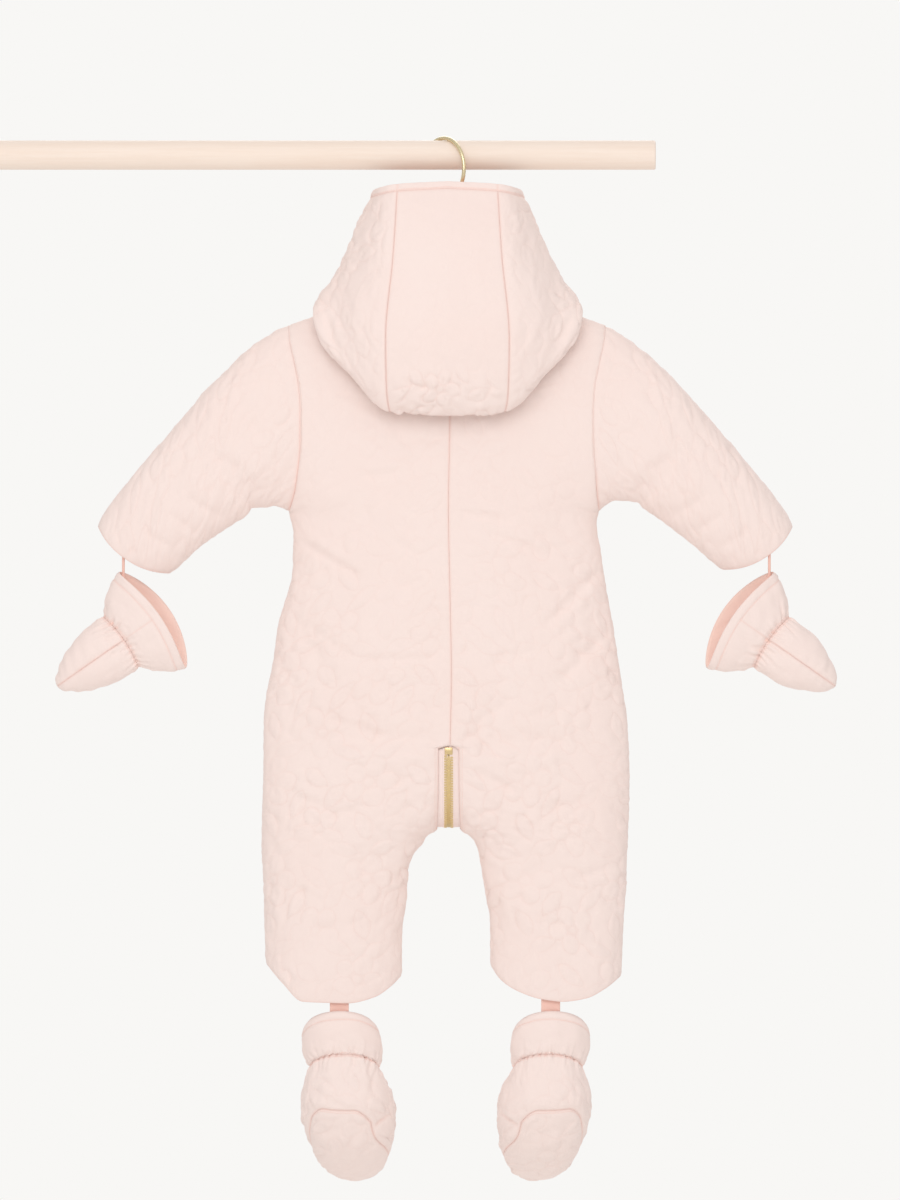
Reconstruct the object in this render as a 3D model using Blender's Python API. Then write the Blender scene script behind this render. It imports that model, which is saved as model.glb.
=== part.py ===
"""A padded, quilted baby snowsuit that hangs by its hanger's hook on a round wood rod, seen here
from its back (-Y). Mittens hang from the cuffs on ties, booties from the leg hems on tapes.

Sizes in the tables are millimetres. A "drop" is a distance below the rod's axis, a "half" is
measured from the garment's centre plane, and "left" is -X. The world origin is the centre of
the rod's left end, and GARMENT_X is the garment's centre from there.
"""

import math

import bmesh
import bpy
import numpy as np
from mathutils import Matrix, Vector

MM = 0.001
GARMENT_X = 430.0
BACK, FRONT = -1, 1
LEFT, RIGHT = -1, 1
SIDE_NAMES = {LEFT: "left", RIGHT: "right"}
FACE_NAMES = {BACK: "back", FRONT: "front"}


def columns(names, *rows):
    """The named columns of a small table, each as an array."""
    return dict(zip(names.split(), np.array(rows, float).T))


# ------------------------------------------------------------------ driving sizes
CLOTH, LIGHT_CLOTH = 3.0, 2.0
TAPE = 1.2
SEAM_GAP, EDGE_TRIM = 0.3, 0.17
SECTION_POWER = 2.3
QUILT_RISE = 1.6

# The rod, the hook's ring over it, and the hanger's arms under the shoulders.
ROD_RADIUS, ROD_RIGHT, ROD_EDGE = 13.5, 191.5, 1.5
ROD_SIDES = 32
WIRE_RADIUS, WIRE_SIDES = 1.8, 7
HOOK_RADIUS, HOOK_X, HOOK_TURN = 28.5, -4.0, 49.0
HOOK_ARC, HOOK_POINTS, SHANK_POINTS, SHANK_BEND = (176.0, -36.0), 19, 7, 42.0
HANGER_DEPTH, HANGER_HEIGHT, HANGER_REACH, HANGER_SLACK = 6.0, 12.0, 132.0, 1.4
HANGER_CROWN, HANGER_POINTS, HANGER_SIDES = 18.0, 19, 8
HANGER_TIP, HANGER_TIP_POWER, HANGER_TIP_SHARE = 1.5, 16, 0.2

# Outer sides of the body and legs.
BODY = columns(
    "drop left right",
    (329, 147, 139.5), (337, 145, 137.5), (348, 142.6, 138), (364, 143, 141), (383, 143.5, 143.5),
    (404, 148, 147), (432, 156.5, 152), (471, 162, 158), (497, 167.5, 162), (521, 170, 165.5),
    (571, 170.5, 167.5), (638, 172, 165.5), (673, 170, 164), (705, 169.5, 162), (752, 168, 160),
)
HALF_DEPTH = columns(
    "drop depth",
    (150, 28), (240, 32), (330, 35), (450, 38), (544, 41), (623, 38), (700, 34), (781, 31),
)
CENTRE_SEAM = columns("drop x", (130, 1), (240, 1.8), (325, 0.5), (400, 1.8), (480, 3.2), (545, 2))
INNER_LEG = columns(
    "drop left right",
    (623, 8.9, 10.1), (626, 17.5, 18.4), (636, 24, 25.8), (643, 31, 28), (661, 37, 31.5),
    (691, 39, 36), (710, 42, 39), (752, 42.5, 39),
)
# The hem dips in the middle of each leg; "across" runs from the inner to the outer side.
HEM = columns(
    "across left right",
    (0, 757, 748), (0.07, 765.5, 759.5), (0.2, 776, 770), (0.4, 781.5, 778), (0.55, 781, 780),
    (0.73, 780, 777), (0.88, 763, 768), (1, 746, 757),
)
ARMHOLE = columns(
    "drop left right",
    (157, 148, 146), (169, 147, 145), (194, 141.7, 140), (215, 138, 136.3), (238, 136.6, 135),
    (268, 136.6, 135), (294, 139, 136.5), (312, 141.7, 137.5), (329, 147, 139.5),
)
ARMHOLE_DEPTH = 29.0
SHOULDER_DROP, UNDERARM_DROP = 157.0, 329.0
SHOULDER_ROUND = 42.0
NECK_HALF, NECK_DROP, NECK_DEPTH = 60.0, 126.0, 31.0
NECK_DIP, NECK_SLOPE = {BACK: 12.0, FRONT: 48.0}, 0.5
ZIP_X, ZIP_HALF, SLIT_DROP, CROTCH_DROP = 0.6, 9.5, 544.0, 623.0
HEM_DROP, HEM_START = 752.0, 650.0

# Sleeve outlines: "half" is measured from MIRROR_X. Both sleeves share the upper line.
MIRROR_X = -2.5
SLEEVE_TOP = columns(
    "half drop",
    (144, 157), (154, 161), (181, 180), (199, 196), (222, 219), (251, 253), (281, 287),
    (303, 315), (312.5, 328), (321, 342),
)
SLEEVE_UNDER = {
    LEFT: columns(
        "half drop",
        (144, 329), (157.5, 324), (167.5, 325.5), (178, 325.5), (181.5, 331), (195.5, 340.5),
        (212, 351.5), (228.5, 363.5), (241.5, 376), (254, 386.5),
    ),
    RIGHT: columns(
        "half drop",
        (142, 329), (149, 322.5), (158, 319), (176.5, 320.5), (182, 325.5), (196.5, 335.5),
        (213, 348), (228, 359.5), (241, 371), (255.5, 383),
    ),
}
SLEEVE_DEPTH = columns("along depth", (0, 29), (0.3, 31), (0.7, 29), (1, 25))
CUFF_BULGE = 11.0

# The hood's sections, from the centre back round to the front edge. Each point is given by its
# half, its distance behind the garment's middle plane, and its drop.
HOOD_CENTRE = -0.5
HOOD_STATIONS = "shelf return fold low belly crown edge".split()
HOOD = {
    "centre": [(0, 39, 152), (0, 41, 200), (0, 52, 241), (0, 68, 222), (0, 77, 165), (0, 60, 85),
               (0, 34, 25)],
    "seam": [(36, 38.5, 148), (50, 41, 196), (53, 50, 238), (56, 63, 219), (57, 71, 172),
             (50, 57, 92), (46, 34, 27.5)],
    "corner": [(56, 35, 142), (76, 39, 178), (86, 46, 207), (93, 53, 191), (91, 55, 158),
               (72, 45, 92), (60, 27, 30)],
    "shoulder": [(76, 9, 117), (106, 27, 139), (119, 33, 160), (123.5, 30, 147), (106.5, 17, 118),
                 (86, 6, 73), (69, 0, 34)],
    "ridge": [(64, -5, 109), (90, -3, 118), (109, -2, 132), (112, -6, 126), (99, -12, 110),
              (84, -10, 78), (68, -9, 42)],
    "cheek": [(50, -25, 139), (82, -32, 138), (96, -38, 146), (99, -42, 138), (90, -43, 120),
              (76, -36, 92), (60, -24, 62)],
    "front": [(14, -40, 171), (19, -43, 167), (24, -45, 163), (28, -46, 158), (31, -47, 152),
              (33, -47, 146), (35, -46, 139)],
}
# Places of those sections along the neck ring, and the place where the foot turns into a collar.
HOOD_PLACES, COLLAR_PLACE = (0, 6, 9, 12, 13.2, 15, 18), 10.5
HOOD_BAND, HOOD_LIFT = 7.0, 0.5
# The quilting starts this far above the hood's foot, and fades in over this length.
HOOD_PLAIN, HOOD_FADE = 110.0, 30.0

# Mitten, along its axis from the rim's corners to the tip.
MITTEN = columns(
    "along half depth",
    (0, 54.5, 23), (10, 50.5, 22), (21, 43, 20), (29, 36, 17.5), (35.5, 28.5, 14.5), (42, 29.3, 17),
    (50, 29, 19), (65, 27, 19.5), (80, 22.5, 17), (93, 15.5, 12.5), (102, 8.5, 7.5), (107, 0, 0),
)
MITTEN_RIM, MITTEN_ANGLE, MITTEN_X, MITTEN_Y = (270.5, 428.7), 34.9, -1.5, -19.9
MITTEN_WAIST, MITTEN_BULGE, MITTEN_LEAN = 35.5, 13.0, 5.0
MITTEN_CUFF_ROWS, MITTEN_HAND_ROWS = 3, (0.12, 0.3, 0.5, 0.7, 0.87, 0.96, 1)
# Gathers at the elastic: how many, how deep as a share of the radius, and how far they run.
MITTEN_GATHERS, MITTEN_PLEAT, MITTEN_RUN = 12, 0.045, 7.0
PUFF_RISE, PUFF_LENGTH = 0.8, 44.0

# Bootie: cuff rings, then foot rings that turn from the ankle to the toe.
BOOTIE_X, BOOTIE_Y = {LEFT: -94.5, RIGHT: 90.8}, -9.3
BOOTIE_LEAN, BOOTIE_MIDDLE = 0.095, 855.0
BOOTIE_CUFF = columns(
    "drop half depth",
    (806, 34, 22.5), (816, 36.4, 25), (823, 36.6, 26), (834, 34.5, 25.5), (842, 31.5, 24),
)
BOOTIE_FOOT = columns(
    "drop forward tilt half height",
    (842, 0, 0, 31.5, 24), (853, 1, 4, 37, 30), (867, 4, 13, 41.8, 35.5), (878, 8, 22, 43, 37),
    (889, 13, 32, 42, 37), (901, 22, 42, 40, 34), (913, 33, 48, 37, 29), (925, 44, 51, 32, 23),
    (935, 54, 52, 24, 16), (942, 62, 52, 12, 8), (945, 65, 52, 0, 0),
)
BOOTIE_BULGE, BOOTIE_CUFF_ROWS = 18.0, 3
BOOTIE_GATHERS, BOOTIE_PLEAT, BOOTIE_RUN = 12, 0.04, 8.0
# The sole starts at this drop, and its underside is pressed flat by this share of its height.
SOLE_START, SOLE_FLAT, SOLE_FADE = 867.0, 0.12, 20.0
BOOTIE_QUILT = 0.7

# Ties between cuff and mitten, tapes between hem and bootie.
TIE_RADIUS, TIE_X, TIE_DROPS, TIE_STEP = 1.3, {LEFT: -298.9, RIGHT: 295.9}, (359.0, 396.0), 6.0
STRAP_HALF, STRAP_X, STRAP_Y, STRAP_DROPS = 8.7, {LEFT: -100.0, RIGHT: 94.5}, -27.0, (766.0, 806.0)

# Zip chain, end piece, slider and pull tab. The tuck draws the zip in at the neck.
CHAIN_HALF, CHAIN_THICK = 3.6, 2.2
ZIP_START, ZIP_TUCK, TUCK_RUN, TAPE_REACH = 3.0, 1.2, 90.0, 14.5
STOP_DROPS, STOP_PROUD = (548.5, 555.0), 0.6
SLIDER_LENGTH, SLIDER_HALF, SLIDER_PLATE, SLIDER_SLOT = 14.0, 4.8, 1.5, 1.4
POST_HALF, POST_START, POST_SHORT = 1.6, 0.5, 4.0
BRIDGE_LENGTH, BRIDGE_RISE, BRIDGE_HALF, BRIDGE_WALL = 7.0, 2.6, 1.2, 1.0
PULL_LENGTH, PULL_WIDTH, PULL_THICK, PULL_CORNER = 25.0, 7.4, 1.4, 2.5
PULL_NECK = columns("drop half", (0, 3.2), (9, 3.4), (13, PULL_WIDTH / 2))
PULL_WINDOW, PULL_WINDOW_END = 3.6, 8.5
# How far a piece reaches into the one that it is fused with.
FUSE = 0.2

# Folds pressed into the cloth: a line from start to end, its half-width and its rise.
FOLD_FADE = 18.0
FOLDS = {
    BACK: columns(
        "x0 drop0 x1 drop1 wide rise",
        (-120, 536, 118, 541, 9, -2.6), (-110, 552, 112, 557, 10, 2.2),
        (-146, 419, -108, 474, 9, -2.8), (-128, 425, -92, 482, 10, 2.0),
        (-30, 500, -14, 538, 6, 1.6), (28, 496, 12, 536, 6, 1.6),
        (110, 470, 150, 430, 9, -2.4), (-96, 640, -60, 668, 9, -2.2), (92, 646, 60, 676, 9, -2.2),
    ),
    FRONT: columns(
        "x0 drop0 x1 drop1 wide rise",
        (-116, 540, -30, 548, 9, -2.4), (30, 546, 120, 536, 9, -2.4),
        (-146, 430, -110, 486, 9, -2.4), (108, 480, 148, 436, 9, -2.4),
        (-92, 648, -60, 672, 9, -2.0), (90, 642, 58, 670, 9, -2.0),
    ),
}
SLEEVE_FOLDS = columns(
    "x0 drop0 x1 drop1 wide rise",
    (174, 320, 214, 282, 8, -2.6), (166, 304, 200, 262, 9, 1.8), (194, 334, 222, 330, 7, -2.2),
    (212, 318, 250, 288, 9, 1.6),
)

# Rows and columns of the cloth grids. The body's columns and the sleeves' rows are even, so that
# the plain inside can take every second one.
NECK_COLUMNS, SHOULDER_COLUMNS = 6, 6
ARMHOLE_ROWS, WAIST_ROWS, CROTCH_ROWS, LEG_ROWS = 12, 12, 10, 8
SLEEVE_ROWS, HOOD_ROWS = 14, 17


# ------------------------------------------------------------------ curves
def smooth(table, key, at, by="drop"):
    """A monotone cubic curve through one column of a table."""
    return curve(table[by], table[key], at)


def curve(xs, ys, at):
    """A cubic through points that never swings past them."""
    step = np.diff(xs)
    slope = np.diff(ys) / step
    rate = np.zeros(len(ys))
    rate[0], rate[-1] = slope[0], slope[-1]
    for i in range(1, len(ys) - 1):
        if slope[i - 1] * slope[i] > 0:
            near, far = 2 * step[i] + step[i - 1], step[i] + 2 * step[i - 1]
            rate[i] = (near + far) / (near / slope[i - 1] + far / slope[i])
    at = np.clip(at, xs[0], xs[-1])
    i = np.clip(np.searchsorted(xs, at, side="right") - 1, 0, len(xs) - 2)
    t = (at - xs[i]) / step[i]
    return (
        (2 * t**3 - 3 * t**2 + 1) * ys[i] + (t**3 - 2 * t**2 + t) * step[i] * rate[i]
        + (3 * t**2 - 2 * t**3) * ys[i + 1] + (t**3 - t**2) * step[i] * rate[i + 1]
    )


def lengths_along(points):
    return np.concatenate([[0], np.cumsum(np.linalg.norm(np.diff(points, axis=0), axis=1))])


def resampled(points, shares):
    """Points at these shares of a polyline's length."""
    along = lengths_along(points)
    return np.stack([np.interp(np.multiply(shares, along[-1]), along, axis) for axis in points.T], axis=1)


def spline(points, count=200):
    """A smooth polyline through a few points."""
    points = np.array(points, float)
    along = lengths_along(points)
    at = np.linspace(0, along[-1], count)
    return np.stack([curve(along, axis, at) for axis in points.T], axis=1)


def power(value, exponent):
    return np.sign(value) * np.abs(value) ** exponent


def eased(value):
    value = np.clip(value, 0, 1)
    return value * value * (3 - 2 * value)


# ------------------------------------------------------------------ materials
def material(name, colour, roughness, metallic):
    made = bpy.data.materials.new(name)
    made.use_nodes = True
    shader = made.node_tree.nodes["Principled BSDF"]
    shader.inputs["Base Color"].default_value = (*colour, 1)
    shader.inputs["Roughness"].default_value = roughness
    shader.inputs["Metallic"].default_value = metallic
    return made


# Colour, roughness and metallic value of each finish.
FINISHES = {
    "quilt": ((0.93, 0.78, 0.71), 0.85, 0.0),
    "tape": ((0.83, 0.56, 0.47), 0.8, 0.0),
    "brass": ((0.76, 0.57, 0.30), 0.3, 1.0),
    "wood": ((0.88, 0.74, 0.62), 0.55, 0.0),
}


def named_material(node, finish):
    """Each piece has its own copy of its finish."""
    return material(f"{finish}_{node}", *FINISHES[finish])


# ------------------------------------------------------------------ objects
def world(points):
    """Table coordinates (x, y, drop) as metres from the rod's left end."""
    points = np.asarray(points, float)
    return np.stack([points[..., 0] + GARMENT_X, points[..., 1], -points[..., 2]], axis=-1) * MM


def mesh_object(name, points, faces, finish, smooth_shaded=True):
    mesh = bpy.data.meshes.new(name)
    mesh.from_pydata([tuple(p) for p in world(points)], [], faces)
    shell = bmesh.new()
    shell.from_mesh(mesh)
    bmesh.ops.recalc_face_normals(shell, faces=shell.faces)
    shell.to_mesh(mesh)
    shell.free()
    obj = bpy.data.objects.new(name, mesh)
    bpy.context.scene.collection.objects.link(obj)
    mesh.materials.append(named_material(name, finish))
    if smooth_shaded:
        mesh.shade_smooth()
        mesh.set_sharp_from_angle(angle=math.radians(40))
    return obj


def grid_normals(grid, around, outward):
    """Unit normals of a grid of points, on the side that outward points to."""
    if around:
        across = np.roll(grid, -1, 1) - np.roll(grid, 1, 1)
    else:
        across = np.gradient(grid, axis=1)
    normal = np.cross(across, np.gradient(grid, axis=0))
    size = np.linalg.norm(normal, axis=2, keepdims=True)
    normal = normal / np.maximum(size, 1e-9)
    away = grid - grid.mean((0, 1)) if outward is None else np.array(outward, float)
    return normal if (normal * away * size).sum() > 0 else -normal


def edge_inset(grid, keep, around):
    """Steps that draw a piece's edges in along the cloth, so that neighbours stay apart."""
    rows, cols = grid.shape[:2]
    right = np.zeros((rows - 1, cols))
    right[:, : keep.shape[1]] = keep
    left = np.roll(right, 1, axis=1)
    blank = np.zeros((1, cols))
    below, above = np.vstack([right + left, blank]), np.vstack([blank, right + left])
    after = np.vstack([right, blank]) + np.vstack([blank, right])
    before = np.vstack([left, blank]) + np.vstack([blank, left])
    inset = np.zeros_like(grid)
    for more, less, axis in ((below, above, 0), (after, before, 1)):
        for sign in (1, -1):
            step = np.roll(grid, -sign, axis) - grid
            step /= np.maximum(np.linalg.norm(step, axis=2, keepdims=True), 1e-9)
            inset += step * (np.sign(more - less) == sign)[..., None] * EDGE_TRIM
    return inset


def wall(name, grid, normals, finish="quilt", rise=None, thick=CLOTH, keep=None, around=False,
         tip=False, steps=(1, 1)):
    """A closed wall of cloth. grid is its outer face, rise lifts that face along its normals, and
    the plain inside lies one thickness in. A tip row is one point. steps says which rows and
    columns the inside uses."""
    rows, cols = grid.shape[:2]
    spans = (rows - 1, cols if around else cols - 1)
    keep = np.ones(spans, bool) if keep is None else keep
    if tip:
        end = grid[-1, 0] - grid[-2].mean(0)
        normals = np.concatenate([normals[:-1], np.tile(end / np.linalg.norm(end), (1, cols, 1))])
    inset = edge_inset(grid, keep, around)
    if tip:
        whole = keep[-1].all()
        towards = grid[-2, :cols][keep[-1]].mean(0) - grid[-1, 0]
        inset[-1] = 0 if whole else towards / np.linalg.norm(towards) * 2 * EDGE_TRIM
    outer = grid + normals * (0 if rise is None else rise[..., None]) + inset
    inner = grid - normals * thick + inset
    points, index, faces = [], {}, []

    def vertex(layer, i, j):
        j = 0 if tip and i == rows - 1 else j % cols
        key = (layer, i, j)
        if key not in index:
            index[key] = len(points)
            points.append((outer, inner)[layer][i, j])
        return index[key]

    def add(corners):
        corners = list(dict.fromkeys(corners))
        if len(corners) > 2:
            faces.append(corners)

    down, across = steps
    for i, j in np.argwhere(keep):
        i, j = int(i), int(j)
        add([vertex(0, i, j), vertex(0, i, j + 1), vertex(0, i + 1, j + 1), vertex(0, i + 1, j)])
        if i % down == 0 and j % across == 0:
            corners = ((i, j), (i, j + across), (i + down, j + across), (i + down, j))
            add([vertex(1, *corner) for corner in corners])
        for di, dj in ((-1, 0), (1, 0), (0, -1), (0, 1)):
            near = (i + di, (j + dj) % cols if around else j + dj)
            inside = 0 <= near[0] < spans[0] and 0 <= near[1] < spans[1] and keep[near]
            step, place = (across, j) if di else (down, i)
            if inside or (tip and near[0] == spans[0]) or place % step:
                continue
            a, b = (i + (di > 0), j + (dj > 0))
            run = [(a, b + k) if di else (a + k, b) for k in range(step + 1)]
            first, last = vertex(1, *run[0]), vertex(1, *run[-1])
            middle = vertex(0, *run[step // 2])
            add([vertex(0, *run[0]), first, middle])
            add([middle, first, last])
            add([middle, last, vertex(0, *run[-1])])
    return mesh_object(name, points, faces, finish)


# ------------------------------------------------------------------ quilting and folds
FLOWER_RADIUS, PETALS, PETAL_DEPTH, EYE_RADIUS = 24.0, 5, 0.18, 8.0
LEAF_LONG, LEAF_WIDE = 30.0, 14.0
QUILT_TILE = 92.0
# Motifs of one repeat: where each stands, its turn, and whether it is a flower or a leaf.
MOTIFS = (
    ("flower", 22, 24, 0), ("flower", 68, 70, 25), ("leaf", 66, 22, 35), ("leaf", 84, 38, -50),
    ("leaf", 20, 66, 70), ("leaf", 38, 86, -20), ("leaf", 46, 46, 120), ("leaf", 2, 88, 15),
)


def quilting(u, v, margin=1):
    """Rise of the padded flowers and leaves at places given in millimetres along the cloth."""
    rise = np.zeros(np.shape(u))
    for kind, x, y, turn in MOTIFS:
        du = (u - x + QUILT_TILE / 2) % QUILT_TILE - QUILT_TILE / 2
        dv = (v - y + QUILT_TILE / 2) % QUILT_TILE - QUILT_TILE / 2
        angle = math.radians(turn)
        if kind == "flower":
            away, bearing = np.hypot(du, dv), np.arctan2(dv, du)
            reach = FLOWER_RADIUS * (1 - PETAL_DEPTH * (1 - np.cos(PETALS * (bearing - angle))))
            bump = np.clip(1 - (away / reach) ** 2, 0, 1) * np.clip(away / EYE_RADIUS, 0.3, 1)
        else:
            along = du * math.cos(angle) + dv * math.sin(angle)
            aside = dv * math.cos(angle) - du * math.sin(angle)
            bump = np.clip(1 - (along / LEAF_LONG * 2) ** 2 - (aside / LEAF_WIDE * 2) ** 2, 0, 1)
        rise = np.maximum(rise, bump)
    return rise * QUILT_RISE * margin


def fold_rise(folds, x, drop):
    """Soft troughs and ridges along the folds' lines, fading at both ends."""
    rise = np.zeros(np.shape(x))
    for x0, d0, x1, d1, wide, lift in zip(*folds.values()):
        along = np.array([x1 - x0, d1 - d0])
        length = np.linalg.norm(along)
        t = ((x - x0) * along[0] + (drop - d0) * along[1]) / length
        off = ((x - x0) * along[1] - (drop - d0) * along[0]) / length
        fade = eased(t / FOLD_FADE) * eased((length - t) / FOLD_FADE)
        rise = rise + lift * fade * np.exp(-((off / wide) ** 2))
    return rise


def cloth_coordinates(grid):
    """Distances along the cloth, across from the first column and down from the first row."""
    across = np.linalg.norm(np.diff(grid, axis=1), axis=2)
    down = np.linalg.norm(np.diff(grid, axis=0), axis=2)
    u = np.concatenate([np.zeros((len(grid), 1)), np.cumsum(across, axis=1)], axis=1)
    v = np.concatenate([np.zeros((1, grid.shape[1])), np.cumsum(down, axis=0)], axis=0)
    return u, v


def seam_margin(grid, around=False, width=14.0):
    """1 inside a panel, falling to 0 at its seams, so that neighbouring edges meet level."""
    u, v = cloth_coordinates(grid)
    margin = np.minimum(v, v[-1] - v) / width
    if not around:
        margin = np.minimum(margin, np.minimum(u, u[:, -1:] - u) / width)
    return eased(margin)


# ------------------------------------------------------------------ body
def armhole_shares():
    """Shares of the armhole's height for its rows, even along its curve."""
    turn = np.linspace(0, math.pi, 400)
    height = UNDERARM_DROP - SHOULDER_DROP
    ring = np.stack([(1 - np.cos(turn)) / 2 * height, ARMHOLE_DEPTH * np.sin(turn)], axis=1)
    along = lengths_along(ring)
    return np.interp(np.linspace(0, along[-1], ARMHOLE_ROWS + 1), along, turn)


def armhole_point(side, face, turn):
    drop = SHOULDER_DROP + (1 - np.cos(turn)) / 2 * (UNDERARM_DROP - SHOULDER_DROP)
    x = side * smooth(ARMHOLE, SIDE_NAMES[side], drop)
    return np.stack([x, face * ARMHOLE_DEPTH * np.sin(turn), drop], axis=-1)


def top_drop(half, side, face):
    """Drop of the neckline, then of the straight shoulder seam."""
    reach = smooth(ARMHOLE, SIDE_NAMES[side], SHOULDER_DROP)
    slope = (SHOULDER_DROP - NECK_DROP) / (reach - NECK_HALF)
    dip = np.sqrt(np.clip(1 - (half / NECK_HALF) ** 2, 0, 1))
    return np.where(
        half < NECK_HALF, NECK_DROP + NECK_DIP[face] * dip, NECK_DROP + (half - NECK_HALF) * slope
    )


def inner_x(side, face, drop):
    """The panel's edge at the centre: the back seam, or the zip's edge."""
    zip_edge = ZIP_X + side * ZIP_HALF
    if face == FRONT:
        return zip_edge
    return np.where(drop > SLIT_DROP + 1, zip_edge, smooth(CENTRE_SEAM, "x", drop))


def upper_row(side, face, turn, count=240):
    """A row of the body between the shoulder and the underarm, centre to armhole, as a polyline."""
    w = (1 - math.cos(turn)) / 2
    edge = armhole_point(side, face, np.array(turn))
    angle = np.linspace(math.pi / 2, 0, count)
    across = np.cos(angle) ** (2 / SECTION_POWER)
    near_edge = 1 - np.sin(angle) ** (2 / SECTION_POWER)
    shoulder = abs(armhole_point(side, face, np.array(0.0))[0])
    centre = NECK_DROP + NECK_DIP[face]
    start = inner_x(side, face, np.array(centre + w * (UNDERARM_DROP - centre)))
    half_top = side * start + across * (shoulder - side * start)
    top = top_drop(half_top, side, face)
    drop = top + w * (UNDERARM_DROP - top)
    x = start + across * (edge[0] - start)
    fall = np.clip((drop - top) / SHOULDER_ROUND, 0, 1)
    rounded = np.sqrt(1 - (1 - fall) ** 2)
    neck = NECK_DEPTH * np.sqrt(np.clip(1 - (half_top / NECK_HALF) ** 2, 0, 1))
    depth = smooth(HALF_DEPTH, "depth", drop)
    y = (1 - near_edge) * (neck * (1 - rounded) + depth * rounded)
    y = y * face + near_edge * edge[1]
    return np.stack([x, y, drop], axis=1), half_top


def crotch_close(drop):
    """How far a section has closed round each leg: 0 at the slit, 1 from the crotch down."""
    return np.clip((drop - SLIT_DROP) / (CROTCH_DROP - SLIT_DROP), 0, 1) ** 1.4


def lower_drops():
    """Drops of the rows below the underarm, even along the zip's curve under the crotch."""
    near = np.linspace(SLIT_DROP + 2, CROTCH_DROP, 200)
    depth = smooth(HALF_DEPTH, "depth", near)
    edge = depth * (1 - crotch_close(near) ** SECTION_POWER) ** (1 / SECTION_POWER)
    along = lengths_along(np.stack([edge, near], axis=1))
    crotch = np.interp(np.linspace(0, along[-1], CROTCH_ROWS), along, near)
    waist = np.linspace(UNDERARM_DROP, SLIT_DROP, WAIST_ROWS + 1)[1:]
    leg = CROTCH_DROP + (HEM_DROP - CROTCH_DROP) * np.linspace(0, 1, LEG_ROWS + 1)[1:] ** 1.5
    return np.concatenate([waist, crotch, leg])


def lower_row(side, face, drop, count=240):
    """A row below the underarm: half a section of the body, closing to a leg's below the crotch."""
    close = crotch_close(drop)
    outer = side * smooth(BODY, SIDE_NAMES[side], drop)
    start = inner_x(side, face, np.array(drop))
    if drop > CROTCH_DROP:
        start = side * smooth(INNER_LEG, SIDE_NAMES[side], drop)
    semi = (outer - start) / (1 + close)
    angle = np.linspace(math.acos(-(close ** (SECTION_POWER / 2))), 0, count)
    x = outer - semi + semi * power(np.cos(angle), 2 / SECTION_POWER)
    y = face * smooth(HALF_DEPTH, "depth", drop) * np.abs(np.sin(angle)) ** (2 / SECTION_POWER)
    if close == 1:
        y[0] = 0
    y[-1] = 0
    across = (x - start) / (outer - start)
    fade = eased((drop - HEM_START) / (HEM_DROP - HEM_START))
    fall = drop + fade * (smooth(HEM, SIDE_NAMES[side], across, by="across") - HEM_DROP)
    return np.stack([x, y, fall], axis=1)


def body_grid(side, face):
    cells = NECK_COLUMNS + SHOULDER_COLUMNS
    even = np.linspace(0, 1, cells + 1)
    rows = []
    for k, turn in enumerate(armhole_shares()):
        line, half_top = upper_row(side, face, turn)
        if k == 0:
            along = lengths_along(line) / lengths_along(line)[-1]
            neck = np.interp(NECK_HALF, half_top, along)
            first = np.concatenate([np.linspace(0, neck, NECK_COLUMNS + 1),
                                    np.linspace(neck, 1, SHOULDER_COLUMNS + 1)[1:]])
        share = k / ARMHOLE_ROWS
        rows.append(resampled(line, first * (1 - share) + even * share))
    seam = np.linspace(0, 1, SHOULDER_COLUMNS + 1)[:, None]
    neck_point = np.array([side * NECK_HALF, 0, NECK_DROP])
    rows[0][NECK_COLUMNS:] = neck_point + seam * (armhole_point(side, face, np.array(0.0)) - neck_point)
    rows += [resampled(lower_row(side, face, drop), even) for drop in lower_drops()]
    return np.array(rows)


def body_rise(grid, face):
    u, v = cloth_coordinates(grid)
    seams = seam_margin(grid)
    return quilting(u, grid[..., 2], seams) + fold_rise(FOLDS[face], grid[..., 0], grid[..., 2]) * seams


def shared_normals(grids):
    """Normals of the body and sleeves, made equal where their seams' points meet."""
    normals = {
        key: grid_normals(grid, key[1] is None, None if key[1] is None else (0, key[1], 0))
        for key, grid in grids.items()
    }
    total = {}
    for key, grid in grids.items():
        for place, normal in zip(np.round(grid, 3).reshape(-1, 3) + 0.0, normals[key].reshape(-1, 3)):
            total[tuple(place)] = total.get(tuple(place), 0) + normal
    for key, grid in grids.items():
        places = np.round(grid, 3).reshape(-1, 3) + 0.0
        merged = np.array([total[tuple(place)] for place in places])
        merged /= np.linalg.norm(merged, axis=1, keepdims=True)
        normals[key] = merged.reshape(grid.shape)
    for side in (LEFT, RIGHT):
        neck = normals[side, FRONT][0, :NECK_COLUMNS] - [0, 0, NECK_SLOPE]
        normals[side, FRONT][0, :NECK_COLUMNS] = neck / np.linalg.norm(neck, axis=1, keepdims=True)
    return normals


def make_body(grids, normals):
    for side in (LEFT, RIGHT):
        for face in (BACK, FRONT):
            grid = grids[side, face]
            wall(f"{FACE_NAMES[face]}_{SIDE_NAMES[side]}", grid, normals[side, face],
                 rise=body_rise(grid, face), steps=(1, 2))


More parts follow.
